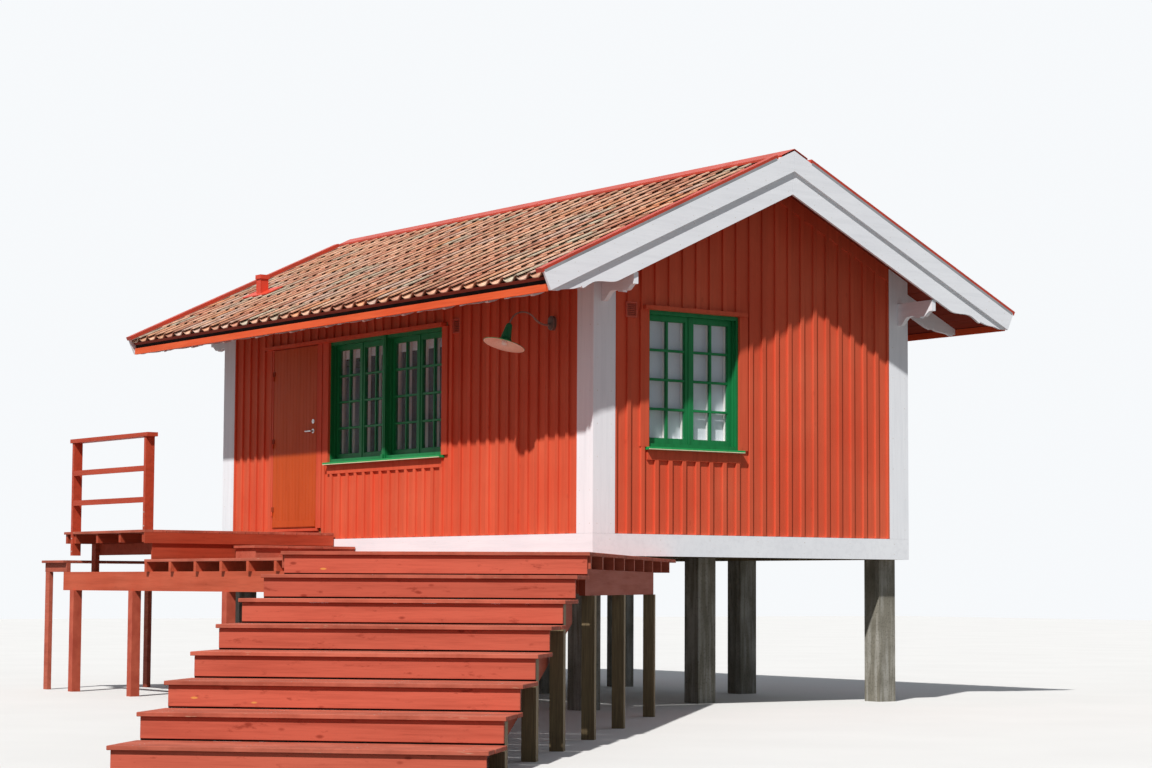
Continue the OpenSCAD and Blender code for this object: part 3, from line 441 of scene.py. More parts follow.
white_nails = Timber()
nail_r, nail_h, sunk_nail_h = 0.0045, 0.0014, 0.0004
slope_y, slope_z = math.cos(pitch), math.sin(pitch)
verge_x = 0.554
for gable_x, out in ((verge_x, 1), (-house_l - verge_x, -1)):
    for side in (-1, 1):
        for i in range(13):
            run = 0.22 + i * 0.245
            for deep, back in ((0.045, 0.0), (0.135, 0.0), (0.215, 0.028), (0.335, 0.028)):
                if (run > 2.4 and deep > 0.3) or (run > 3.0 and deep > 0.2):
                    continue
                y = house_w / 2 + side * (run * slope_y - deep * slope_z)
                z = apex - run * slope_z - deep * slope_y
                dome(white_nails, (gable_x - out * back, y, z), (out, 0, 0), nail_r, sunk_nail_h)
for i in range(7):
    z = 0.30 + i * 0.31
    for inset in (0.05, 0.21):
        for x, out in ((0, 1), (-house_l, -1)):
            for y in (inset, house_w - inset):
                dome(white_nails, (x, y, z), (out, 0, 0), nail_r, nail_h)
        for y, out in ((0, -1), (house_w, 1)):
            for x in (-inset, -house_l + inset):
                dome(white_nails, (x, y, z), (0, out, 0), nail_r, nail_h)
for i in range(12):
    for z in (0.05, 0.155):
        for y, out in ((0, -1), (house_w, 1)):
            dome(white_nails, (-0.25 - i * 0.61, y, z), (0, out, 0), nail_r, nail_h)
        if i < 7:
            for x, out in ((0, 1), (-house_l, -1)):
                dome(white_nails, (x, 0.2 + i * 0.6, z), (out, 0, 0), nail_r, nail_h)
# Paint over nail heads: the white is thin there, so some show as rusty yellow spots
nail_paint = mottled("paint_over_nail_heads", 0.15, 3, (0.4, "#e2e0db"), (0.62, "#c9bfb2"), 0.55)
white_nails.piece("white_nails", nail_paint, "white_timber")

# Roof boards, fascias and eave battens
# Bare-edged boards 149 mm wide lie along the roof over the rafter tails, painted red where
# they show under the eaves. A bright fascia closes their ends. Above it a black felt strip at
# the boards' ends fills a gap 20 mm high as painted shade, under a batten in a darker red as
# painted shade from the tile noses, which carries the lowest tiles.

red_boards = painted_wood("red_paint_on_roof_boards", "#8f3423", "#98402c", "#6a2418", X,
                          rough=0.7, spread=0.25)
# The drip battens get a darker copy of the red: painted shade from the tile noses above them
drip_shade_paint = painted_wood("red_paint_darkened_as_shade_on_drip_battens", "#6f281c", "#7a3022", "#4d1a12", X, rough=0.7)
tile_b, board_b = 0.102, 0.127


def slope_place(back):
    """Boards drawn with x along the roof, y down the slope and z into it. The back slope is the
    front one turned half round."""
    place = Matrix(((1, 0, 0, 0), (0, -slope_y, slope_z, house_w / 2), (0, -slope_z, -slope_y, apex),
                    (0, 0, 0, 1)))
    return turned_to(-house_l, house_w, 180) @ place if back else place


def run_to(y, deep):
    """Distance down the front slope to a point at y and at a depth below the tiles' top."""
    return (house_w / 2 - y + deep * slope_z) / slope_y


roof_x, batten_x = 0.526, 0.497
roof_boards, felt_shade_strips, drip_battens = Timber(), Timber(), Timber()
run_top, run_end = 0.066, run_to(-0.870, board_b)
batten_run = run_to(-0.903, 0.08)
rows = 21
row = (run_end - run_top) / rows
for back in (False, True):
    place = slope_place(back)
    for i in range(rows):
        first = run_top + i * row
        roof_boards.board((-house_l - roof_x, first + 0.001, tile_b), (roof_x, first + row - 0.001, board_b),
                          0.003, place)
    # A black felt strip at the boards' ends: painted shade in the gap above the fascia
    felt_shade_strips.board((-house_l - batten_x, run_end + 0.001, 0.075), (batten_x, run_end + 0.005, 0.128),
                     0.001, place)
    drip_battens.board((-house_l - batten_x, batten_run, 0.050), (batten_x, batten_run + 0.004, 0.080),
                       0.0015, place)
roof_boards.piece("roof_boarding", red_boards, "red_timber",
                  replaces=("roof_boards_front", "roof_boards_back"))
drip_battens.piece("drip_battens", drip_shade_paint, "red_timber")

# Bitumen felt: dull black with sand grains of 3 mm pressed in, used as painted shade in the
# eave gap and under the risers
felt = mottled("sanded_bitumen_felt_as_painted_shade", 0.003, 2, (0.4, "#0d0c0c"), (0.7, "#211f1e"), 0.95, 0.0005, 0.4,
               {"Specular IOR Level": 0.1})
felt_shade_strips.piece("felt_shade_strips", felt, "red_timber")

fascia_red = painted_wood("bright_red_paint_on_fascia", "#e0592f", "#e66538", "#b0401f", X, rough=0.5)
dress(["eave_fascias"], fascia_red)

# Clay pantiles
# Old unglazed S-shaped tiles, hung in straight columns on battens, each lapped over the one
# below and hooked over the next column. Every tile has fired to its own salmon, cream or
# brown, and lichen has greyed some of them.

# Unglazed fired clay: quite matt and sandy, each tile of its own colour, with lichen in grey
# patches 0.2 m wide and pale spots of 18 mm
clay, where = material("old_unglazed_clay_pantile")
fired = add(clay, "Attribute", attribute_name="tone")
colours = ramp((fired, "Fac"), (0.0, "#c28a72"), (1.0, "#d6ccb4"), (0.13, "#e6ab8c"), (0.28, "#f6ccae"),
               (0.42, "#dd9c80"), (0.55, "#f0bf9f"), (0.68, "#e2c6b6"), (0.8, "#ecaa80"), (0.9, "#cfb8a2"))
sand, patches, lichen, spots = [noise(where, size, 4, 0.68) for size in (0.006, 0.09, 0.22, 0.018)]
burning = ramp(patches, (0.3, "#a99a92"), (0.6, "#ffffff"))
sanding = ramp(sand, (0.35, "#8f857e"), (0.6, "#ffffff"))
growing = ramp(lichen, (0.56, 0.0), (0.7, 0.55))
spotting = ramp(spots, (0.64, 0.0), (0.7, 0.5))
burnt = mix(0.75, colours, burning, "MULTIPLY")
sanded = mix(0.4, burnt, sanding, "MULTIPLY")
grown = mix(growing, sanded, "#8f9078")
spotted = mix(spotting, grown, "#b9b49f")
gritty = bump(sand, 0.0015, 0.6)
add(clay, "Surface", {"Base Color": spotted, "Roughness": 0.88, "Normal": gritty})

tile_columns, tile_rows = 38, 10
column_w = (house_l + 2 * roof_x) / tile_columns
tile_low = run_to(-0.9395, 0)
gauge = (tile_low - 0.02) / tile_rows
tile_t, tile_step, tile_lap = 0.0105, 0.0145, 0.05
# Depth of the S across one tile, in mm from its column's start: an upturned edge, a wide pan,
# then a roll that laps over the next tile's edge and leaves a dark crevice under its own
tile_profile = ((-14, 15), (-8, 20), (0, 27.5), (10, 34.5), (22, 39.5), (40, 42), (66, 42.5), (94, 40.5),
                (118, 33), (139, 20.5), (158, 6), (174, -5), (188, -11), (202, -13), (213, -12.8),
                (221, -11.5), (226, -9.5))
prism = ((0, 1, 3, 2), (2, 3, 5, 4), (4, 5, 7, 6), (6, 7, 1, 0), (0, 2, 4, 6), (7, 5, 3, 1))
# Section of the dark strip laid in each lap as painted shade
lap_profile = ((0.2040, -0.0018), (0.2065, -0.0018), (0.2065, 0.0165), (0.2040, 0.0165))
laps = Timber()

for back, name, node in ((False, "pantiles_front", "tiles_front"), (True, "pantiles_back", "tiles_back")):
    tiles = Timber()
    place = slope_place(back)
    for c, r in product(range(tile_columns), range(tile_rows)):
        left = -house_l - roof_x + c * column_w
        low = tile_low - r * gauge - (rng.random() * 0.007 if r else rng.random() * 0.002)
        high = max(0.012, low - gauge - tile_lap)
        lift, tone = rng.random() * 0.002, rng.random()
        turn, slide = (rng.random() - 0.5) * 0.012, (rng.random() - 0.5) * 0.003
        sheets = []
        for thick, (run, drop) in product((0.0, tile_t), ((low, 0.0), (high, tile_step))):
            for across, deep in tile_profile:
                x = min(max(left + across / 1000 + slide, -house_l - roof_x), roof_x)
                y = min(run + turn * (across / 1000 - 0.1), tile_low)
                sheets.append(place @ Vector((x, y, 0.001 + lift + drop + deep / 1000 + thick)))
        n = len(tile_profile)
        skin = [(k, k + 1, n + k + 1, n + k) for k in range(n - 1)]
        turned_skin = [f[::-1] for f in skin]
        tiles.add(sheets[:2 * n], skin, tone, smooth=True)
        tiles.add(sheets[2 * n:], turned_skin, tone, smooth=True)
        for end, faces in ((0, turned_skin), (n, skin)):
            tiles.add(sheets[end:end + n] + sheets[2 * n + end:3 * n + end], faces, tone)
        for side, face in ((0, (3, 2, 1, 0)), (n - 1, (0, 1, 2, 3))):
            tiles.add([sheets[k + side] for k in (0, n, 3 * n, 2 * n)], [face], tone)
        if c < tile_columns - 1:
            lap = [place @ Vector((left + across, run, 0.001 + drop + deep))
                   for across, deep in lap_profile for run, drop in ((low - 0.006, 0.0), (high, tile_step))]
            laps.add(lap, prism)
    tiles.piece(name, clay, "clay_tiles", replaces=(node,))

# Painted shade in the laps under the rolls' free edges: dark strips, drawn as moss and soot,
# that stand in for the shadow in the crevices; nearly black, with green-brown tufts of 8 mm
lap_shade = mottled("painted_shade_in_tile_laps", 0.008, 4, (0.4, "#140c09"), (0.75, "#33261a"), 0.95, 0.003, 0.5,
               {"Specular IOR Level": 0.1})
laps.piece("painted_shade_strips_in_laps", lap_shade, "clay_tiles")

# Ridge cap and verge flashings
# Folded sheet steel painted red: the ridge cap lies over the highest tiles, and the flashings
# cover the ends of the tile rows on top of the bargeboards. A joint strip every 1.6 m,
# chips and dull spots show on the paint.


# Paint or enamel on sheet metal: an even skin with dull patches 0.35 m wide and fine chips of
# 12 mm, over sheet that is never quite flat
def painted_sheet(name, colour, worn, roughness=0.42):
    mat, where = material(name)
    dull = noise(where, 0.35, 4)
    fine = noise(where, 0.012, 3)
    dusting = ramp(dull, (0.42, colour), (0.72, worn))
    chipping = ramp(fine, (0.3, "#9a9a9a"), (0.42, "#ffffff"))
    skin = mix(0.35, dusting, chipping, "MULTIPLY")
    rubbed = ranged(dull, roughness - 0.1, roughness + 0.25)
    dents = bump(dull, 0.004, 0.3)
    add(mat, "Surface", {"Base Color": skin, "Roughness": rubbed, "Specular IOR Level": 0.25,
                         "Normal": dents})
    return mat


red_sheet = painted_sheet("red_paint_on_folded_steel", "#b83e2a", "#a6402f")
dress(["ridge_cap", "verge_flashings"], red_sheet)

sheet_joints, verge_edge_and_shadow_strips = Timber(), Timber()
for i in range(5):
    x = -house_l - 0.5 + (i + 0.5) * (house_l + 1) / 5
    for back in (False, True):
        place = slope_place(back)
        sheet_joints.board((x - 0.016, 0.012, -0.0215), (x + 0.016, 0.171, -0.0195), 0.0006, place)
        for run in (0.045, 0.135):
            out = place.to_3x3() @ Vector((0, 0, -1))
            dome(sheet_joints, place @ Vector((x, run, -0.0212)), out, 0.005, 0.002)
sheet_joints.piece("ridge_joints", red_sheet, "red_sheet")
# Grey strips under the flashings' edges: partly their bare galvanised edge, partly painted shadow of the
# flashing on the bargeboards
for gable_x, out in ((verge_x, 1), (-house_l - verge_x, -1)):
    x0, x1 = sorted((gable_x - out * 0.0020, gable_x + out * 0.0003))
    for back in (False, True):
        verge_edge_and_shadow_strips.board((x0, 0.245, -0.014), (x1, tile_low + 0.012, 0.012), 0.0004, slope_place(back))
galvanised_edge_and_painted_shadow = painted_sheet("bare_galvanised_edge_and_painted_shadow", "#9a9da0", "#7f8285", 0.45)
verge_edge_and_shadow_strips.piece("verge_edge_and_shadow_strips", galvanised_edge_and_painted_shadow, "red_sheet")

# Window frames, sashes and glazing bars
# Coupled timber windows painted dark green. Each sash has one upright and three level
# glazing bars with bevelled edges, two frames meet behind a grooved cover board, and the
# sills have a pale worn drip edge.

green_paint = painted_wood("dark_green_gloss_on_windows", "#1a7340", "#20804a", "#12542d", Z,
                           rough=0.35, knots=0.05)
dress(["window_frames", "window_sashes"], green_paint)
# The sills get a lighter copy of the window green: painted sunlight on their tops
dress(["window_sills"], painted_wood("green_gloss_lightened_as_sunlight_on_sills", "#249a52", "#2ca65d", "#1a6b3a", X,
                                     rough=0.35, knots=0.05))

raised = Matrix.Translation((0, 0, window_z))
front_window = turned_to(front_window_x - 2 * window_w, 0, 0) @ raised
back_window = turned_to(front_window_x, house_w, 180) @ raised
near_window = turned_to(0, gable_window_y, 90) @ raised
far_window = turned_to(-house_l, gable_window_y + window_w, -90) @ raised
next_unit = Matrix.Translation((window_w, 0, 0))
window_places = [front_window, front_window @ next_unit, back_window, back_window @ next_unit,
                 near_window, far_window]

frame_w, leaf_w, sash_w, sash_h, bar_w = 0.036, 0.534, 0.052, 1.234, 0.024
sash_y, glass_y = 0.092, (0.1102, 0.1158)


def sash_corners(place):
    return [place @ Matrix.Translation((frame_w + i * leaf_w, 0, frame_w)) for i in (0, 1)]


def glazing(timber, place, front, glass, back, rim, bar):
    """Bars in front of and behind the glass of one sash, bevelled towards the glass edge."""
    clear_w, clear_h = leaf_w - 2 * rim, sash_h - 2 * rim
    for face, deep in ((front, glass[0]), (back, glass[1])):
        y0, y1 = min(face, deep), max(face, deep)
        timber.board(((leaf_w - bar) / 2, y0, rim), ((leaf_w + bar) / 2, y1, rim + clear_h), 0.004, place)
        for k in (1, 2, 3):
            z = rim + clear_h * k / 4
            timber.board((rim, y0 + 0.0003, z - bar / 2), (rim + clear_w, y1, z + bar / 2), 0.004, place)


glazing_bars = Timber()
for place in window_places:
    for sash in sash_corners(place):
        glazing(glazing_bars, sash, sash_y + 0.004, glass_y, sash_y + 0.038, sash_w, bar_w)
        for x0, x1, z0, z1 in ((sash_w, sash_w + 0.007, sash_w, sash_h - sash_w),
                               (leaf_w - sash_w - 0.007, leaf_w - sash_w, sash_w, sash_h - sash_w),
                               (sash_w, leaf_w - sash_w, sash_w, sash_w + 0.007),
                               (sash_w, leaf_w - sash_w, sash_h - sash_w - 0.007, sash_h - sash_w)):
            glazing_bars.board((x0, sash_y + 0.009, z0), (x1, glass_y[0], z1), 0.002, sash)
glazing_bars.piece("glazing_bars", green_paint, "green_timber")

frame_covers = Timber()
for place in (front_window, back_window):
    for x0, x1, out in ((-0.030, -0.012, 0.021), (-0.010, 0.010, 0.024), (0.012, 0.030, 0.021)):
        frame_covers.board((window_w + x0, trim_t - out, 0.002),
                           (window_w + x1, trim_t + 0.0005, window_h - 0.002), 0.003, place)
    frame_covers.board((window_w - 0.020, -0.014, -0.0012), (window_w + 0.020, 0.006, 0.050), 0.004, place)
middle, cover_top = window_w / 2, window_h - frame_w
for place in window_places:
    for x0 in (frame_w, window_w - frame_w - 0.012):
        frame_covers.board((x0, sash_y - 0.026, frame_w), (x0 + 0.012, sash_y - 0.0002, cover_top),
                           0.003, place)
    frame_covers.board((middle - 0.016, sash_y - 0.008, frame_w + 0.004),
                       (middle + 0.016, sash_y - 0.0002, cover_top - 0.004), 0.003, place)
frame_covers.piece("frame_covers", green_paint, "green_timber")

sill_edges = Timber()
for place, units in ((front_window, 2), (back_window, 2), (near_window, 1), (far_window, 1)):
    sill_edges.board((-0.018, -0.0475, -0.0270), (units * window_w + 0.018, -0.0380, -0.0190), 0.002, place)
sill_edges.piece("sill_drip_edges", painted_wood("pale_worn_sill_edge", "#dccfae", "#e6dcc0", "#a8946c", X),
                 "green_timber")

# Inner casements
# The inner half of the coupled windows, in cream: two thin casements close behind the outer
# ones, with the same bars, and a lining round them on the wall's inner face.

cream_paint = painted_wood("cream_paint_on_inner_casements", "#f3f0e8", "#f8f6f0", "#dcd8cc", Z,
                           rough=0.45, knots=0.05, wear=0.6)
inner_casements = Timber()
lining_w, stile_w = 0.03, 0.054
for place in window_places:
    for x0, x1, z0, z1 in ((0, window_w, -lining_w, lining_w),
                           (0, window_w, window_h - lining_w, window_h + lining_w),
                           (0, lining_w, lining_w, window_h - lining_w),
                           (window_w - lining_w, window_w, lining_w, window_h - lining_w)):
        inner_casements.board((x0, 0.1785, z0), (x1, 0.222, z1), 0.003, place)
    for sash in sash_corners(place):
        for x0, x1, z0, z1 in ((0.003, stile_w, 0, sash_h), (leaf_w - stile_w, leaf_w - 0.003, 0, sash_h),
                               (stile_w, leaf_w - stile_w, 0, stile_w),
                               (stile_w, leaf_w - stile_w, sash_h - stile_w, sash_h)):
            inner_casements.board((x0, 0.136, z0), (x1, 0.169, z1), 0.003, sash)
        glazing(inner_casements, sash, 0.140, (0.151, 0.154), 0.165, stile_w, 0.014)
inner_casements.piece("inner_casements", cream_paint, "white_timber")

# Window glass
# Old drawn glass, slightly wavy, with a film of dust and painted sky reflection. It mirrors the
# sky, and the room behind is dark.

# Old drawn glass: clear with a thin pale blue film, partly dust and partly a painted reflection
# of the sky, waves 0.12 m wide, and a sharp mirror of the sky
glass, where = material("old_drawn_window_glass")
wave_at = stretched(where, (0.12, 0.12, 0.35))
dust = noise(where, 0.4, 4)
waves = noise(wave_at, 1, 2)
glass_dust_and_painted_sky = ramp(dust, (0.35, "#8ea3b1"), (0.7, "#aabfcb"))
cover = ranged(dust, 0.05, 0.12)
ripple = bump(waves, 0.004, 0.25)
add(glass, "Surface", {"Base Color": glass_dust_and_painted_sky, "Alpha": cover, "Roughness": 0.05, "IOR": 1.52,
                       "Normal": ripple})
dress(["window_glass"], glass)

# Roller blinds
# Plain pale cloth hung close behind the inner casements. The blinds are down in the gable
# windows and rolled up to a hand's width in the others. The cloth hangs in faint waves.

# Plain-woven blind cloth: matt, threads 1.2 mm apart (drawn as coarse as they need to show), and
# faint bands where it has faded
blind_cloth, where = material("white_blind_cloth")
fade_at = stretched(where, (0.25, 0.25, 0.6))
threads = add(blind_cloth, "TexWave", {"Vector": where, "Scale": 0.314 / 0.0012},
              bands_direction="DIAGONAL")
fade = noise(fade_at, 1, 3)
faded = ramp(fade, (0.35, "#e6ecf5"), (0.65, "#f0f4fa"))
woven = bump((threads, 1), 0.0004, 0.3)
add(blind_cloth, "Surface", {"Base Color": faded, "Roughness": 0.85, "Sheen Weight": 0.2,
                             "Normal": woven})

blind_w = window_w - 2 * frame_w - 0.008
blind_names = ("front_left", "front_right", "back_left", "back_right", "near_gable", "far_gable")
for place, name, drop in zip(window_places, blind_names, (0.14, 0.14, 0.14, 0.14, 1.225, 1.225)):
    across, down = 48, max(6, round(drop / 0.03))
    points = []
    for j, i in product(range(down + 1), range(across + 1)):
        wave = 0.0010 * math.sin(6.3 * i / across * 2.5 + 0.4) * (0.3 + 0.7 * j / down)
        points.append(origin + place @ Vector((frame_w + 0.004 + blind_w * i / across, 0.1737 + wave,
                                               window_h - frame_w - 0.004 - drop * j / down)))
    corners = [j * (across + 1) + i for j in range(down) for i in range(across)]
    mesh = bpy.data.meshes.new("blind_" + name)
    mesh.from_pydata(points, [], [(k, k + 1, k + across + 2, k + across + 1) for k in corners])
    mesh.polygons.foreach_set("use_smooth", [True] * len(corners))
    mesh.materials.append(blind_cloth)
    blind = show("blind_" + name, mesh)
    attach(blind, "house")
    if name == "front_left":
        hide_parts("window_blinds")

# Red boards round the windows and the door, and under the gable eaves
# Planed boards in the same red linseed paint as the cladding, flush with the battens, with a
# head board over the openings that stands out as a drip.

dress(["wall_trims"],
      painted_wood("red_paint_on_window_boards", "#d05438", "#d76143", "#9c3a25", Z, wear=0.7))

# Door
# A boarded door of thirteen narrow tongued boards with a weather board across its foot, in
# worn brown-red paint, hung on three pin hinges and standing in a red frame.

door_paint = painted_wood("brown_red_paint_on_door", "#bb4a18", "#c35320", "#8c3410", Z,
                          rough=0.5, knots=0.15, spread=0.06, wear=0.5)
dress(["door_frame"], painted_wood("red_paint_on_door_frame", "#cb4f35", "#d25a40", "#943622", Z, wear=0.7))
dress(["door_leaf"],
      painted_wood("brown_red_paint_on_door_core", "#8f3a22", "#9a4229", "#64220f", Z, rough=0.55))
door_boards = Timber()
board_count = 13
door_low, door_high = 0.338, 2.330
for i in range(board_count):
    for left, width, y0, y1, high, edge in ((-6.046, 0.948, 0.0022, 0.0068, door_high - 0.002, 0.0028),
                                            (-6.016, 0.888, 0.0492, 0.0535, door_high - 0.030, 0.0020)):
        step = width / board_count
        x = left + i * step
        door_boards.board((x + 0.0012, y0, door_low + 0.002), (x + step - 0.0012, y1, high), edge)
weather_low, weather_high = (-6.040, -0.0040, 0.350), (-5.104, 0.0030, 0.418)
door_boards.board(weather_low, weather_high, 0.0035)
door_boards.piece("door_boards", door_paint, "red_timber", body="door")

# Door furniture
# A brushed steel lever on a round rose, with a cylinder lock in a rose of its own above it,
# on both sides of the door. The brushing runs upright.

# Brushed stainless steel: soft streaks 0.6 mm wide in the gloss, and finger marks 50 mm wide
steel, where = material("brushed_stainless_steel")
brush_at = stretched(where, (0.0006, 0.0006, 0.03))
brushed = noise(brush_at, 1, 3)
marks = noise(where, 0.05, 3)
greys = ramp(marks, (0.3, "#a2a4a6"), (0.7, "#c3c5c6"))
gloss = ranged(brushed, 0.22, 0.42)
lines = bump(brushed, 0.0001, 0.3)
add(steel, "Surface", {"Base Color": greys, "Metallic": 1.0, "Roughness": gloss, "Normal": lines})
dress(["door_levers"], steel)


def turned_part(timber, outline, place, sides=40):
    """A body of revolution from an outline of (radius, height) points."""
    points = []
    for radius, height in outline:
        for k in range(sides):
            a = 2 * math.pi * k / sides
            points.append(place @ Vector((radius * math.cos(a), radius * math.sin(a), height)))
    timber.add(points, bands(len(outline), sides), smooth=True)


door_roses = Timber()
lever_x, lever_z, lock_z = -5.168, 1.393, 1.498
for face, turn in ((0.0012, 90), (0.0535, -90)):
    for z in (lever_z, lock_z):
        place = Matrix.Translation((lever_x, face, z)) @ Matrix.Rotation(math.radians(turn), 4, "X")
        turned_part(door_roses, [(0.0255, -0.0008), (0.0255, 0.0025), (0.0235, 0.0045), (0.0150, 0.0048),
                                 (0.0140, 0.0042), (0.0105, 0.0042)], place)
        if z == lock_z:
            turned_part(door_roses, [(0.0105, 0.0042), (0.0100, 0.0075), (0.0088, 0.0085),
                                     (0.0001, 0.0085)], place)
            door_roses.board((-0.0012, -0.0055, 0.0083), (0.0012, 0.0055, 0.0089), 0.0003, place, tone=0)
        for a in (0.5, math.pi + 0.5):
            dome(door_roses, place @ Vector((0.0195 * math.cos(a), 0.0195 * math.sin(a), 0.0046)),
                 place.to_3x3() @ Vector((0, 0, 1)), 0.0022, 0.0008)
door_roses.piece("door_roses", steel, "lever_steel", body="door")

# Wall lamp
# A swan-neck lamp: a cast-iron box on the wall in old brown paint, a pipe that goes out, up and
# over, and a spun steel shade, enamelled dark green outside and cream inside, with a bulb.

green_enamel = painted_sheet("dark_green_enamel_on_lamp", "#1f6b43", "#2a7a50", 0.22)
dress(["lamp_shade"], green_enamel)
lamp_x, lamp_z = -0.645, 2.216
lamp_place = Matrix.Translation((lamp_x, -0.5075, 2.1818)) @ Matrix.Rotation(math.radians(-17), 4, "X")
facing_out = Matrix.Rotation(math.pi / 2, 4, "X")
# The pipe's pinkish brown is partly tarnish and partly a painted reflection of the red wall
dress(["lamp_arm"], painted_sheet("tarnished_steel_pipe_with_painted_wall_reflection", "#a08377", "#8a7065", 0.45))
lamp_box = Timber()
on_wall = Matrix.Translation((lamp_x, 0, lamp_z)) @ facing_out
for radius, low, high, edge in ((0.0495, -0.0005, 0.0345, 0.004), (0.0410, 0.0340, 0.0400, 0.003)):
    outline = []
    for k in range(34):
        a = math.pi * (k % 17) / 16 + (math.pi if k > 16 else 0)
        outline.append((radius * math.cos(a), radius * math.sin(a) + (0.0205 if k < 17 else -0.0205)))
    lamp_box.slab(outline, low, high, edge, on_wall)
for sz in (-1, 1):
    dome(lamp_box, (lamp_x, -0.0400, lamp_z + sz * 0.050), (0, -1, 0), 0.0045, 0.003)
out_of_box = Matrix.Translation((lamp_x, -0.0400, lamp_z - 0.022)) @ facing_out
turned_part(lamp_box, [(0.024, -0.001), (0.024, 0.006), (0.019, 0.008), (0.019, 0.020), (0.0145, 0.024),
                       (0.0125, 0.024)], out_of_box, 24)
iron_paint = painted_sheet("old_paint_on_cast_iron", "#6e6159", "#8a7c72", 0.6)
lamp_box.piece("lamp_wall_box", iron_paint, "aged_steel")

shade_lining = Timber()
turned_part(shade_lining, [(0.0435, -0.1528), (0.0595, -0.1750), (0.1078, -0.1960), (0.1985, -0.2197),
                           (0.2000, -0.2190)], lamp_place, 72)
cream_enamel = painted_sheet("cream_enamel_inside_shade", "#f6efe0", "#ece3cf", 0.3)
shade_lining.piece("shade_lining", cream_enamel, "green_enamel")

shade_beads = Timber()
for radius, height, bead_r, steps, sides in (
        (0.2, -0.2165, 0.003, 12, 72), (0.0318, -0.030, 0.0022, 8, 40),
        (0.0344, -0.046, 0.0022, 8, 40), (0.0464, -0.120, 0.0022, 8, 40)):
    turns = [2 * math.pi * k / steps for k in range(steps + 1)]
    bead = [(radius + bead_r * math.cos(a), height + bead_r * math.sin(a)) for a in turns]
    turned_part(shade_beads, bead, lamp_place, sides)
shade_beads.piece("shade_beads", green_enamel, "green_enamel")

bulb = Timber()
turned_part(bulb, [(0.013, -0.150), (0.0135, -0.162), (0.018, -0.172), (0.026, -0.186), (0.0285, -0.199),
                   (0.0255, -0.212), (0.0165, -0.2215), (0.0001, -0.2245)], lamp_place, 32)
# Bulb glass etched inside: milky white with a soft grain of 4 mm
frosted = mottled("frosted_bulb_glass", 0.004, 3, (0.3, "#e6e5e0"), (0.7, "#f4f3ef"), 0.35, 0.0002, 0.3,
                  {"Subsurface Weight": 0.2})
bulb.piece("lamp_bulb", frosted, "green_enamel")

# Wall vents
# Pressed steel louvres painted red with the wall: a rim, seven slats that shed the rain, and a
# black plate behind them as painted shade for the dark duct.

louvres, duct_shade_plates = Timber(), Timber()
half_w, half_h, rim = 0.064, 0.0735, 0.010
vent_z = Matrix.Translation((0, 0, 2.326))
for wall in (turned_to(front_vent_x, 0, 0), turned_to(front_vent_x, house_w, 180),
             turned_to(0, gable_vent_y, 90), turned_to(-house_l, gable_vent_y, -90)):
    place = wall @ vent_z
    for x0, x1, z0, z1 in ((-half_w, half_w, half_h - rim, half_h),
                           (-half_w, half_w, -half_h, -half_h + rim),
                           (-half_w, -half_w + rim, -half_h + rim, half_h - rim),
                           (half_w - rim, half_w, -half_h + rim, half_h - rim)):
        louvres.board((x0, 0.0, z0), (x1, 0.0275, z1), 0.002, place)
    for k in range(7):
        z = -half_h + rim + 0.009 + k * 0.0182
        slat = place @ Matrix.Translation((0, 0.010, z)) @ Matrix.Rotation(math.radians(52), 4, "X")
        louvres.board((-half_w + rim, -0.0105, -0.0009), (half_w - rim, 0.0105, 0.0009), 0.0005, slat)
    # A black plate behind the slats: painted shade of the duct's inside
    duct_shade_plates.board((-half_w + 0.002, 0.0235, -half_h + 0.002), (half_w - 0.002, 0.0272, half_h - 0.002),
                     0.0005, place)
louvres.piece("vent_louvres", painted_sheet("red_paint_on_pressed_steel", "#d0604a", "#c05a46", 0.5),
              "red_sheet", replaces=("wall_vents",))
duct_shade_plates.piece("vent_duct_shade_plates", painted_sheet("black_painted_shade_in_duct", "#26211f", "#332c29", 0.8), "red_sheet")

# Roof vent
# A square duct folded from sheet steel with a lipped hood, soldered to a sheet that lies on
# the tiles, all painted bright red.

vent_red = painted_sheet("bright_red_paint_on_vent", "#d0452e", "#bb4432", 0.45)
dress(["roof_vent"], vent_red)
vent_seams = Timber()
vent_foot = Matrix.Translation((-6.62, 0.15, roof_line(0.15)))
for x, y in product((-0.0475, 0.0475), repeat=2):
    vent_seams.board((x - 0.0035, y - 0.0035, 0.028), (x + 0.0035, y + 0.0035, 0.160), 0.001, vent_foot)
for x0, x1, y0, y1 in ((-0.0605, 0.0605, -0.0605, -0.0585), (-0.0605, 0.0605, 0.0585, 0.0605),
                       (-0.0605, -0.0585, -0.0585, 0.0585), (0.0585, 0.0605, -0.0585, 0.0585)):
    vent_seams.board((x0, y0, 0.1590), (x1, y1, 0.1655), 0.0006, vent_foot)
vent_seams.piece("roof_vent_seams", vent_red, "red_sheet")

# Walkway, low deck and landing boards
# Planed boards 28 mm thick with 5 mm gaps, screwed down to the joists with two screws at each.
# The red paint on their tops is walked pale and pinkish, with flecks of pale wood showing through.

half_turn = math.radians(45)
walk_place = Matrix.Translation((3.015, -3.698, 0)) @ Matrix.Rotation(half_turn, 4, "Z")
walk_half, deck_top, deck_t = 1.185, -0.032, 0.028
deck_edge = 0.0025
corner_u, corner_t = 0.483, 4.733


def base_colour(mat):
    """The node that colours a finished material, to be mixed on."""
    return mat.node_tree.nodes["Principled BSDF"].inputs["Base Color"].links[0].from_node


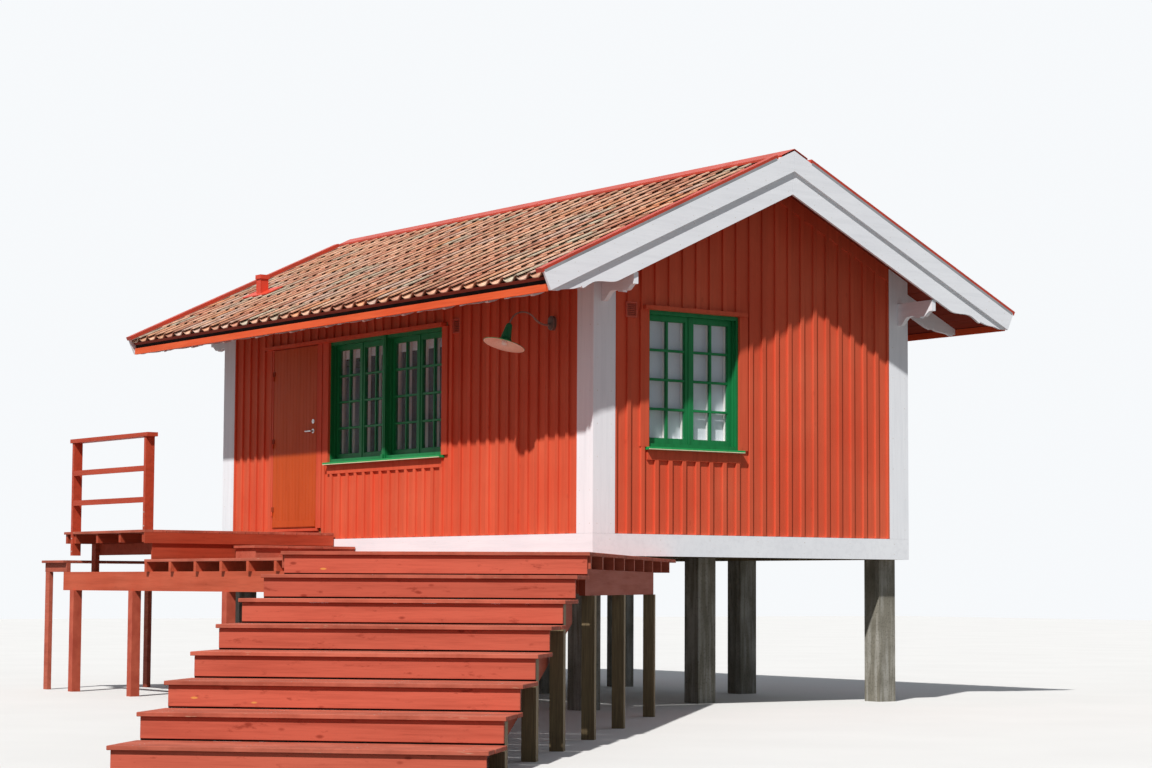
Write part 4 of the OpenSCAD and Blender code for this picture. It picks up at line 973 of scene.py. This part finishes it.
# Red deck paint walked thin: pinkish and matt, with dirt in 0.35 m patches and flecks of bare
# wood 20 mm wide
def deck_paint(name, axis, turn=0.0):
    mat = painted_wood(name, "#c66751", "#c66e59", "#963f2d", axis, turn,
                       rough=0.72, knots=0.45, spread=0.22)
    where = add(mat, "TexCoord")
    dirt = noise(where, 0.35, 5, 0.7)
    flecks = noise(stretched(where, along(axis, 0.02, 0.12), turn), 1, 3)
    dirtying = ramp(dirt, (0.3, "#a99a92"), (0.58, "#ffffff"))
    flecking = ramp(flecks, (0.66, 0.0), (0.74, 0.45))
    dirty = mix(0.55, base_colour(mat), dirtying, "MULTIPLY")
    add(mat, "Surface", {"Base Color": mix(flecking, dirty, "#c9a98c")})
    return mat


across_paint = deck_paint("worn_red_deck_paint_across_walkway", X, half_turn)
along_paint = deck_paint("worn_red_deck_paint_along_wall", X)
screws = Timber()


def screw(at, shift):
    """A screw head on a board's top, up to half the shift off its mark along the board."""
    if shift:
        at = (at[0] + (rng.random() - 0.5) * shift, at[1], at[2])
    dome(screws, at, (0, 0, 1), 0.0045, 0.0008, 6)


def rectangle(x0, x1, y0, y1):
    return [Vector((x0, y0)), Vector((x1, y0)), Vector((x1, y1)), Vector((x0, y1))]


def half_plane(points, inside):
    """The part of a flat outline where inside is not negative."""
    kept = []
    for i, p in enumerate(points):
        q = points[(i + 1) % len(points)]
        if inside(p) >= 0:
            kept.append(p)
        if (inside(p) < 0) != (inside(q) < 0):
            kept.append(p + (q - p) * inside(p) / (inside(p) - inside(q)))
    return kept


def in_house(p):
    return walk_place @ Vector((p.x, p.y, 0))


walkway_boards = Timber()
pitch_t, gap = 0.169, 0.005
board_rows = math.ceil(6.401 / pitch_t)
for i in range(board_rows):
    t0, t1 = i * pitch_t, (i + 1) * pitch_t - gap
    wobble = (rng.random() - 0.5) * 0.006
    u0, u1 = -walk_half + max(0, wobble), walk_half + min(0, wobble)
    tone = rng.random()
    if t1 <= corner_t - 0.02:
        outlines = [rectangle(u0, u1, t0, t1)]
    else:
        outlines = [half_plane(rectangle(u0, corner_u, t0, t1), lambda p: -0.010 - in_house(p).y),
                    half_plane(rectangle(corner_u, u1, t0, t1), lambda p: in_house(p).x - 0.010)]
    for outline in outlines:
        if len(outline) < 3 or max(p.x for p in outline) - min(p.x for p in outline) < 0.03:
            continue
        walkway_boards.slab(outline, deck_top - deck_t, deck_top, deck_edge, walk_place, tone)
    for u, t in product((-1.121, -0.57, 0.0, 0.57, 1.121), (t0 + 0.035, t1 - 0.035)):
        at = walk_place @ Vector((u + (rng.random() - 0.5) * 0.012, t, 0))
        if (at.y < -0.03 or at.x > 0.03) and t < 6.3 and (at.y < -0.02 or u > corner_u):
            screw(at + Vector((0, 0, deck_top)), 0)
walkway_boards.piece("walkway_boards", across_paint, "red_timber", replaces=("walkway_deck",))


def run_boards(timber, y0, y1, count, x_low, x_high, top, joists):
    """Boards along X between y0 and y1, from x_low to the line x_high(y), screwed at the joists."""
    step = (y1 - y0 + gap) / count
    for i in range(count):
        a, b = y0 + i * step, y0 + (i + 1) * step - gap
        outline = [Vector((x_low, a)), Vector((x_high(a), a)), Vector((x_high(b), b)), Vector((x_low, b))]
        timber.slab(outline, top - deck_t, top, deck_edge)
        for x, y in product(joists, (a + 0.03, b - 0.03)):
            if x_low + 0.01 < x < x_high(y) - 0.02:
                screw((x, y, top), 0.008)


deck_front, wall_side = -2.25, -0.010
low_boards = Timber()
joist_lines = [-4.651 + k * 0.537 for k in range(9)]
run_boards(low_boards, deck_front, wall_side, 15, -4.682, lambda y: -2.3625 - y, deck_top, joist_lines)
low_boards.piece("low_deck_boards", along_paint, "red_timber", replaces=("side_deck",))

landing_boards = Timber()
landing_top, landing_left, landing_right = 0.272, -6.613, -4.683
landing_joists = [-6.59, -6.37] + [-6.371 + k * 0.537 for k in (1, 2, 3)]
run_boards(landing_boards, -2.1505, wall_side, 14, landing_left, lambda y: landing_right, landing_top,
           landing_joists)
# The outermost board is cut round the railing's left post
for x0, x1 in ((landing_left, -6.4435), (-6.3925, landing_right)):
    outline = rectangle(x0, x1, deck_front, -2.1555)
    landing_boards.slab(outline, landing_top - deck_t, landing_top, deck_edge)
landing_boards.piece("landing_boards", along_paint, "red_timber", replaces=("landing_deck",))

# Step box and low side step
# A closed box of boards as a half step beside the landing, and a low step on posts at its
# far side, in the same worn paint.

step_boards = Timber()
box_top = 0.120
for y0, y1 in ((-1.220, -0.820), (-0.815, -0.415), (-0.410, wall_side)):
    step_boards.slab(rectangle(-4.6825, -4.233, y0, y1), box_top - deck_t, box_top, deck_edge)
    for x, y in product((-4.64, -4.27), (y0 + 0.06, y1 - 0.06)):
        screw((x, y, box_top), 0)
for x0, x1, y0, y1 in ((-4.281, -4.259, -1.194, -0.010), (-4.6825, -4.282, -1.194, -1.172),
                       (-4.6825, -4.282, -0.210, -0.162)):
    step_boards.board((x0, y0, -0.0317), (x1, y1, 0.0917))
step_boards.piece("step_box_boards", deck_paint("worn_red_deck_paint_on_step", Y), "red_timber",
                  replaces=("step_box",))

side_boards = Timber()
run_boards(side_boards, deck_front, -0.950, 8, -7.173, lambda y: -6.614, deck_top, (-7.13, -6.66))
for y in (-2.21, -1.008):
    side_boards.board((-7.163, y, -0.1577), (-6.614, y + 0.048, -0.0603))
    side_boards.board((-7.153, y, -1.44), (-7.055, y + 0.048, -0.158))
side_boards.piece("side_step_boards", along_paint, "red_timber", replaces=("side_step",))

# Stair
# Treads of three boards each over sawn stringers, with single riser boards that stop 10 mm
# above the tread below, and black felt strips set back under them as painted shade in that gap.
# The treads are walked pale, and the risers keep a deeper red with knots and spots of resin.

treads = Timber()
rise, going, stair_foot = 0.176, 0.554, -1.44
for n in range(1, 8):
    top = deck_top - n * rise
    low_t, high_t = -n * going, -(n - 1) * going + 0.0257
    width = (high_t - low_t + gap) / 3
    for k in range(3):
        a, b = low_t + k * width, low_t + (k + 1) * width - gap
        inset = rng.random() * 0.006
        outline = rectangle(-walk_half + inset, walk_half - inset, a, b)
        treads.slab(outline, top - deck_t, top, 0.003, walk_place)
        for u, t in product((-1.02, -0.345, 0.345, 1.02), (a + 0.04, b - 0.04)):
            screw(walk_place @ Vector((u + (rng.random() - 0.5) * 0.01, t, top)), 0)
treads.piece("stair_tread_boards", across_paint, "red_timber", replaces=("stair_treads",))

# The same paint on the risers, less worn, with brown stains 0.1 m wide and
# orange spots of resin up to 60 mm wide
riser_paint = painted_wood("red_paint_on_risers", "#c35e49", "#c2604b", "#853122", X, half_turn,
                           rough=0.6, knots=0.8, spread=0.15)
where = add(riser_paint, "TexCoord")
resin_at = stretched(where, (0.7, 0.7, 0.22))
resin = add(riser_paint, "TexVoronoi", {"Vector": resin_at, "Scale": 1})
bleeding = ramp(resin, (0.03, 0.8), (0.045, 0.0))
stains = noise(stretched(where, (0.14, 0.14, 0.05)), 1, 5, 0.65)
staining = ramp(stains, (0.6, 0.0), (0.7, 0.6))
stained = mix(staining, base_colour(riser_paint), "#7d2c1d")
add(riser_paint, "Surface", {"Base Color": mix(bleeding, stained, "#d99a4c")})
risers, riser_shade_strips = Timber(), Timber()
riser_half = walk_half - 0.022
for n in range(8):
    back, high = -n * going, deck_top - deck_t - n * rise - 0.0006
    low = deck_top - (n + 1) * rise + 0.010 if n < 7 else stair_foot
    risers.board((-riser_half, back + 0.0262, low), (riser_half, back + 0.0478, high), 0.003, walk_place)
    # Black strips in the 10 mm gap under each riser: painted shade
    if n < 7:
        riser_shade_strips.board((-riser_half, back + 0.0350, low - 0.0105), (riser_half, back + 0.0470, low),
                           0.0005, walk_place)
risers.piece("stair_riser_boards", riser_paint, "red_timber", replaces=("stair_risers",))
riser_shade_strips.piece("riser_painted_shade_strips", felt, "red_timber")
# The walkway's beams, stringers and joists get darker, browner copies of the deck red: painted shade for
# their shaded side
dress(["stair_stringers", "walkway_beams"],
      painted_wood("red_paint_darkened_as_shade_on_walkway_beams", "#984530", "#a14e39", "#6c281a", Y, half_turn))
dress(["walkway_joists"],
      painted_wood("red_paint_darkened_as_shade_on_walkway_joists", "#a9533f", "#b25f4a", "#7e3626", X, half_turn))

# Zinc-plated screw heads: dull grey metal, tarnished by the weather
screw_steel = mottled("dull_zinc_screw_heads", 0.05, 3, (0.35, "#8f8a83"), (0.7, "#c9c4bc"), 0.5,
                      more={"Metallic": 0.6})
screws.piece("deck_screws", screw_steel, "lever_steel")

# Deck frames and posts
# Sawn joists and beams under the decks, painted red, on posts of treated timber. The posts of
# the low deck are painted too, and those of the walkway are bare.

dress(["side_deck_frame"], painted_wood("red_paint_on_deck_beams", "#bd5136", "#c55e43", "#883723", X))
dress(["landing_frame"], painted_wood("red_paint_on_landing_frame", "#a9442c", "#b24f37", "#772a19", Y))
# Treated pine: bare and brown under the walkway, painted red on the posts of the low deck
post_wood = bare_wood("treated_pine_posts", "#8d7a58", "#61523a", Z)
where = add(post_wood, "TexCoord")
along_house = add(post_wood, "SeparateXYZ", {0: where})
reds = ramp(noise(where, 0.12, 4), (0.35, "#a8432c"), (0.7, "#c05a40"))
painted = add(post_wood, "Math", {0: (along_house, "X"), 1: -1.9}, operation="LESS_THAN")
add(post_wood, "Surface", {"Base Color": mix(painted, base_colour(post_wood), reds)})
dress(["deck_posts"], post_wood)

# Landing railing
# Two planed posts, two rails nailed flat between them and a wide cap, all in deep red paint.

dress(["landing_railing"],
      painted_wood("red_paint_on_railing", "#b4432b", "#bd4f36", "#812c1b", X, rough=0.5))
rail_heads = Timber()
for x, foot in ((-6.418, 0.0), (-4.708, 0.25)):
    for z in (0.060, 0.200):
        dome(rail_heads, (x, deck_front, z + foot), (0, -1, 0), 0.0085, 0.004)
rail_heads.piece("railing_bolts", screw_steel, "lever_steel")

# Floor, light and camera
# A plain pale floor, one soft sun from the right over the entrance side as in the
# photograph, and an even sky.

floor_mesh = bpy.data.meshes.new("floor")
floor_mesh.from_pydata([(-60, -60, 0), (60, -60, 0), (60, 60, 0), (-60, 60, 0)], [], [(0, 1, 2, 3)])
floor = show("floor", floor_mesh)


def seen_directly(owner):
    """1 for rays from the camera, from a mirror image or through glass, else 0."""
    path = add(owner, "LightPath")
    seen = add(owner, "Math", {0: (path, "Is Camera Ray"), 1: (path, "Is Glossy Ray")}, operation="MAXIMUM")
    return add(owner, "Math", {0: seen, 1: (path, "Is Transmission Ray")}, operation="MAXIMUM")


# Matt paint on the floor: pale to the camera and in reflections, darker to the light that it
# throws back on the object, so that the undersides stay in shade
floor_paint, where = material("plain_pale_floor")
pale = ramp(noise(where, 1.5, 2), (0.3, "#dbdad7"), (0.7, "#dfdedb"))
seen_pale = mix(seen_directly(floor_paint), "#84827e", pale)
add(floor_paint, "Surface", {"Base Color": seen_pale, "Roughness": 0.9})
floor_mesh.materials.append(floor_paint)

sun_data = bpy.data.lights.new("sun", "SUN")
sun_data.energy = 4.4
sun_data.angle = math.radians(1.3)
sun_data.color = (1.0, 0.98, 0.96)
sun = show("sun", sun_data)
sun.rotation_euler = Vector((-1, 1.47, -1.98)).to_track_quat("-Z", "Y").to_euler()

world = bpy.data.worlds.new("even_sky")
bpy.context.scene.world = world
world.use_nodes = True
sky = world.node_tree.nodes["Background"]
sky.inputs["Color"].default_value = (0.76, 0.86, 1.0, 1)
sky.inputs["Strength"].default_value = 0.27
white = add(world, "Background", {"Color": (0.93, 0.95, 0.97, 1)})
choice = add(world, "MixShader", {0: seen_directly(world), 1: sky, 2: white})
world.node_tree.links.new(choice.outputs[0], world.node_tree.nodes["World Output"].inputs[0])

lens = bpy.data.cameras.new("camera")
lens.lens = 80.858
lens.sensor_width = 36
lens.clip_start, lens.clip_end = 0.1, 500
camera = show("camera", lens)
yaw, tip, roll = 0.94322, 0.07812, 0.00502
ahead = Vector((-math.sin(yaw) * math.cos(tip), math.cos(yaw) * math.cos(tip), math.sin(tip)))
level = Vector((math.cos(yaw), math.sin(yaw), 0))
up = level.cross(ahead)
right = math.cos(roll) * level + math.sin(roll) * up
up = math.cos(roll) * up - math.sin(roll) * level
at = Vector((19.6858, -14.3888, 1.1512))
camera.matrix_world = Matrix(((right.x, up.x, -ahead.x, at.x), (right.y, up.y, -ahead.y, at.y),
                              (right.z, up.z, -ahead.z, at.z), (0, 0, 0, 1)))
bpy.context.scene.camera = camera
bpy.context.scene.view_settings.view_transform = "Standard"
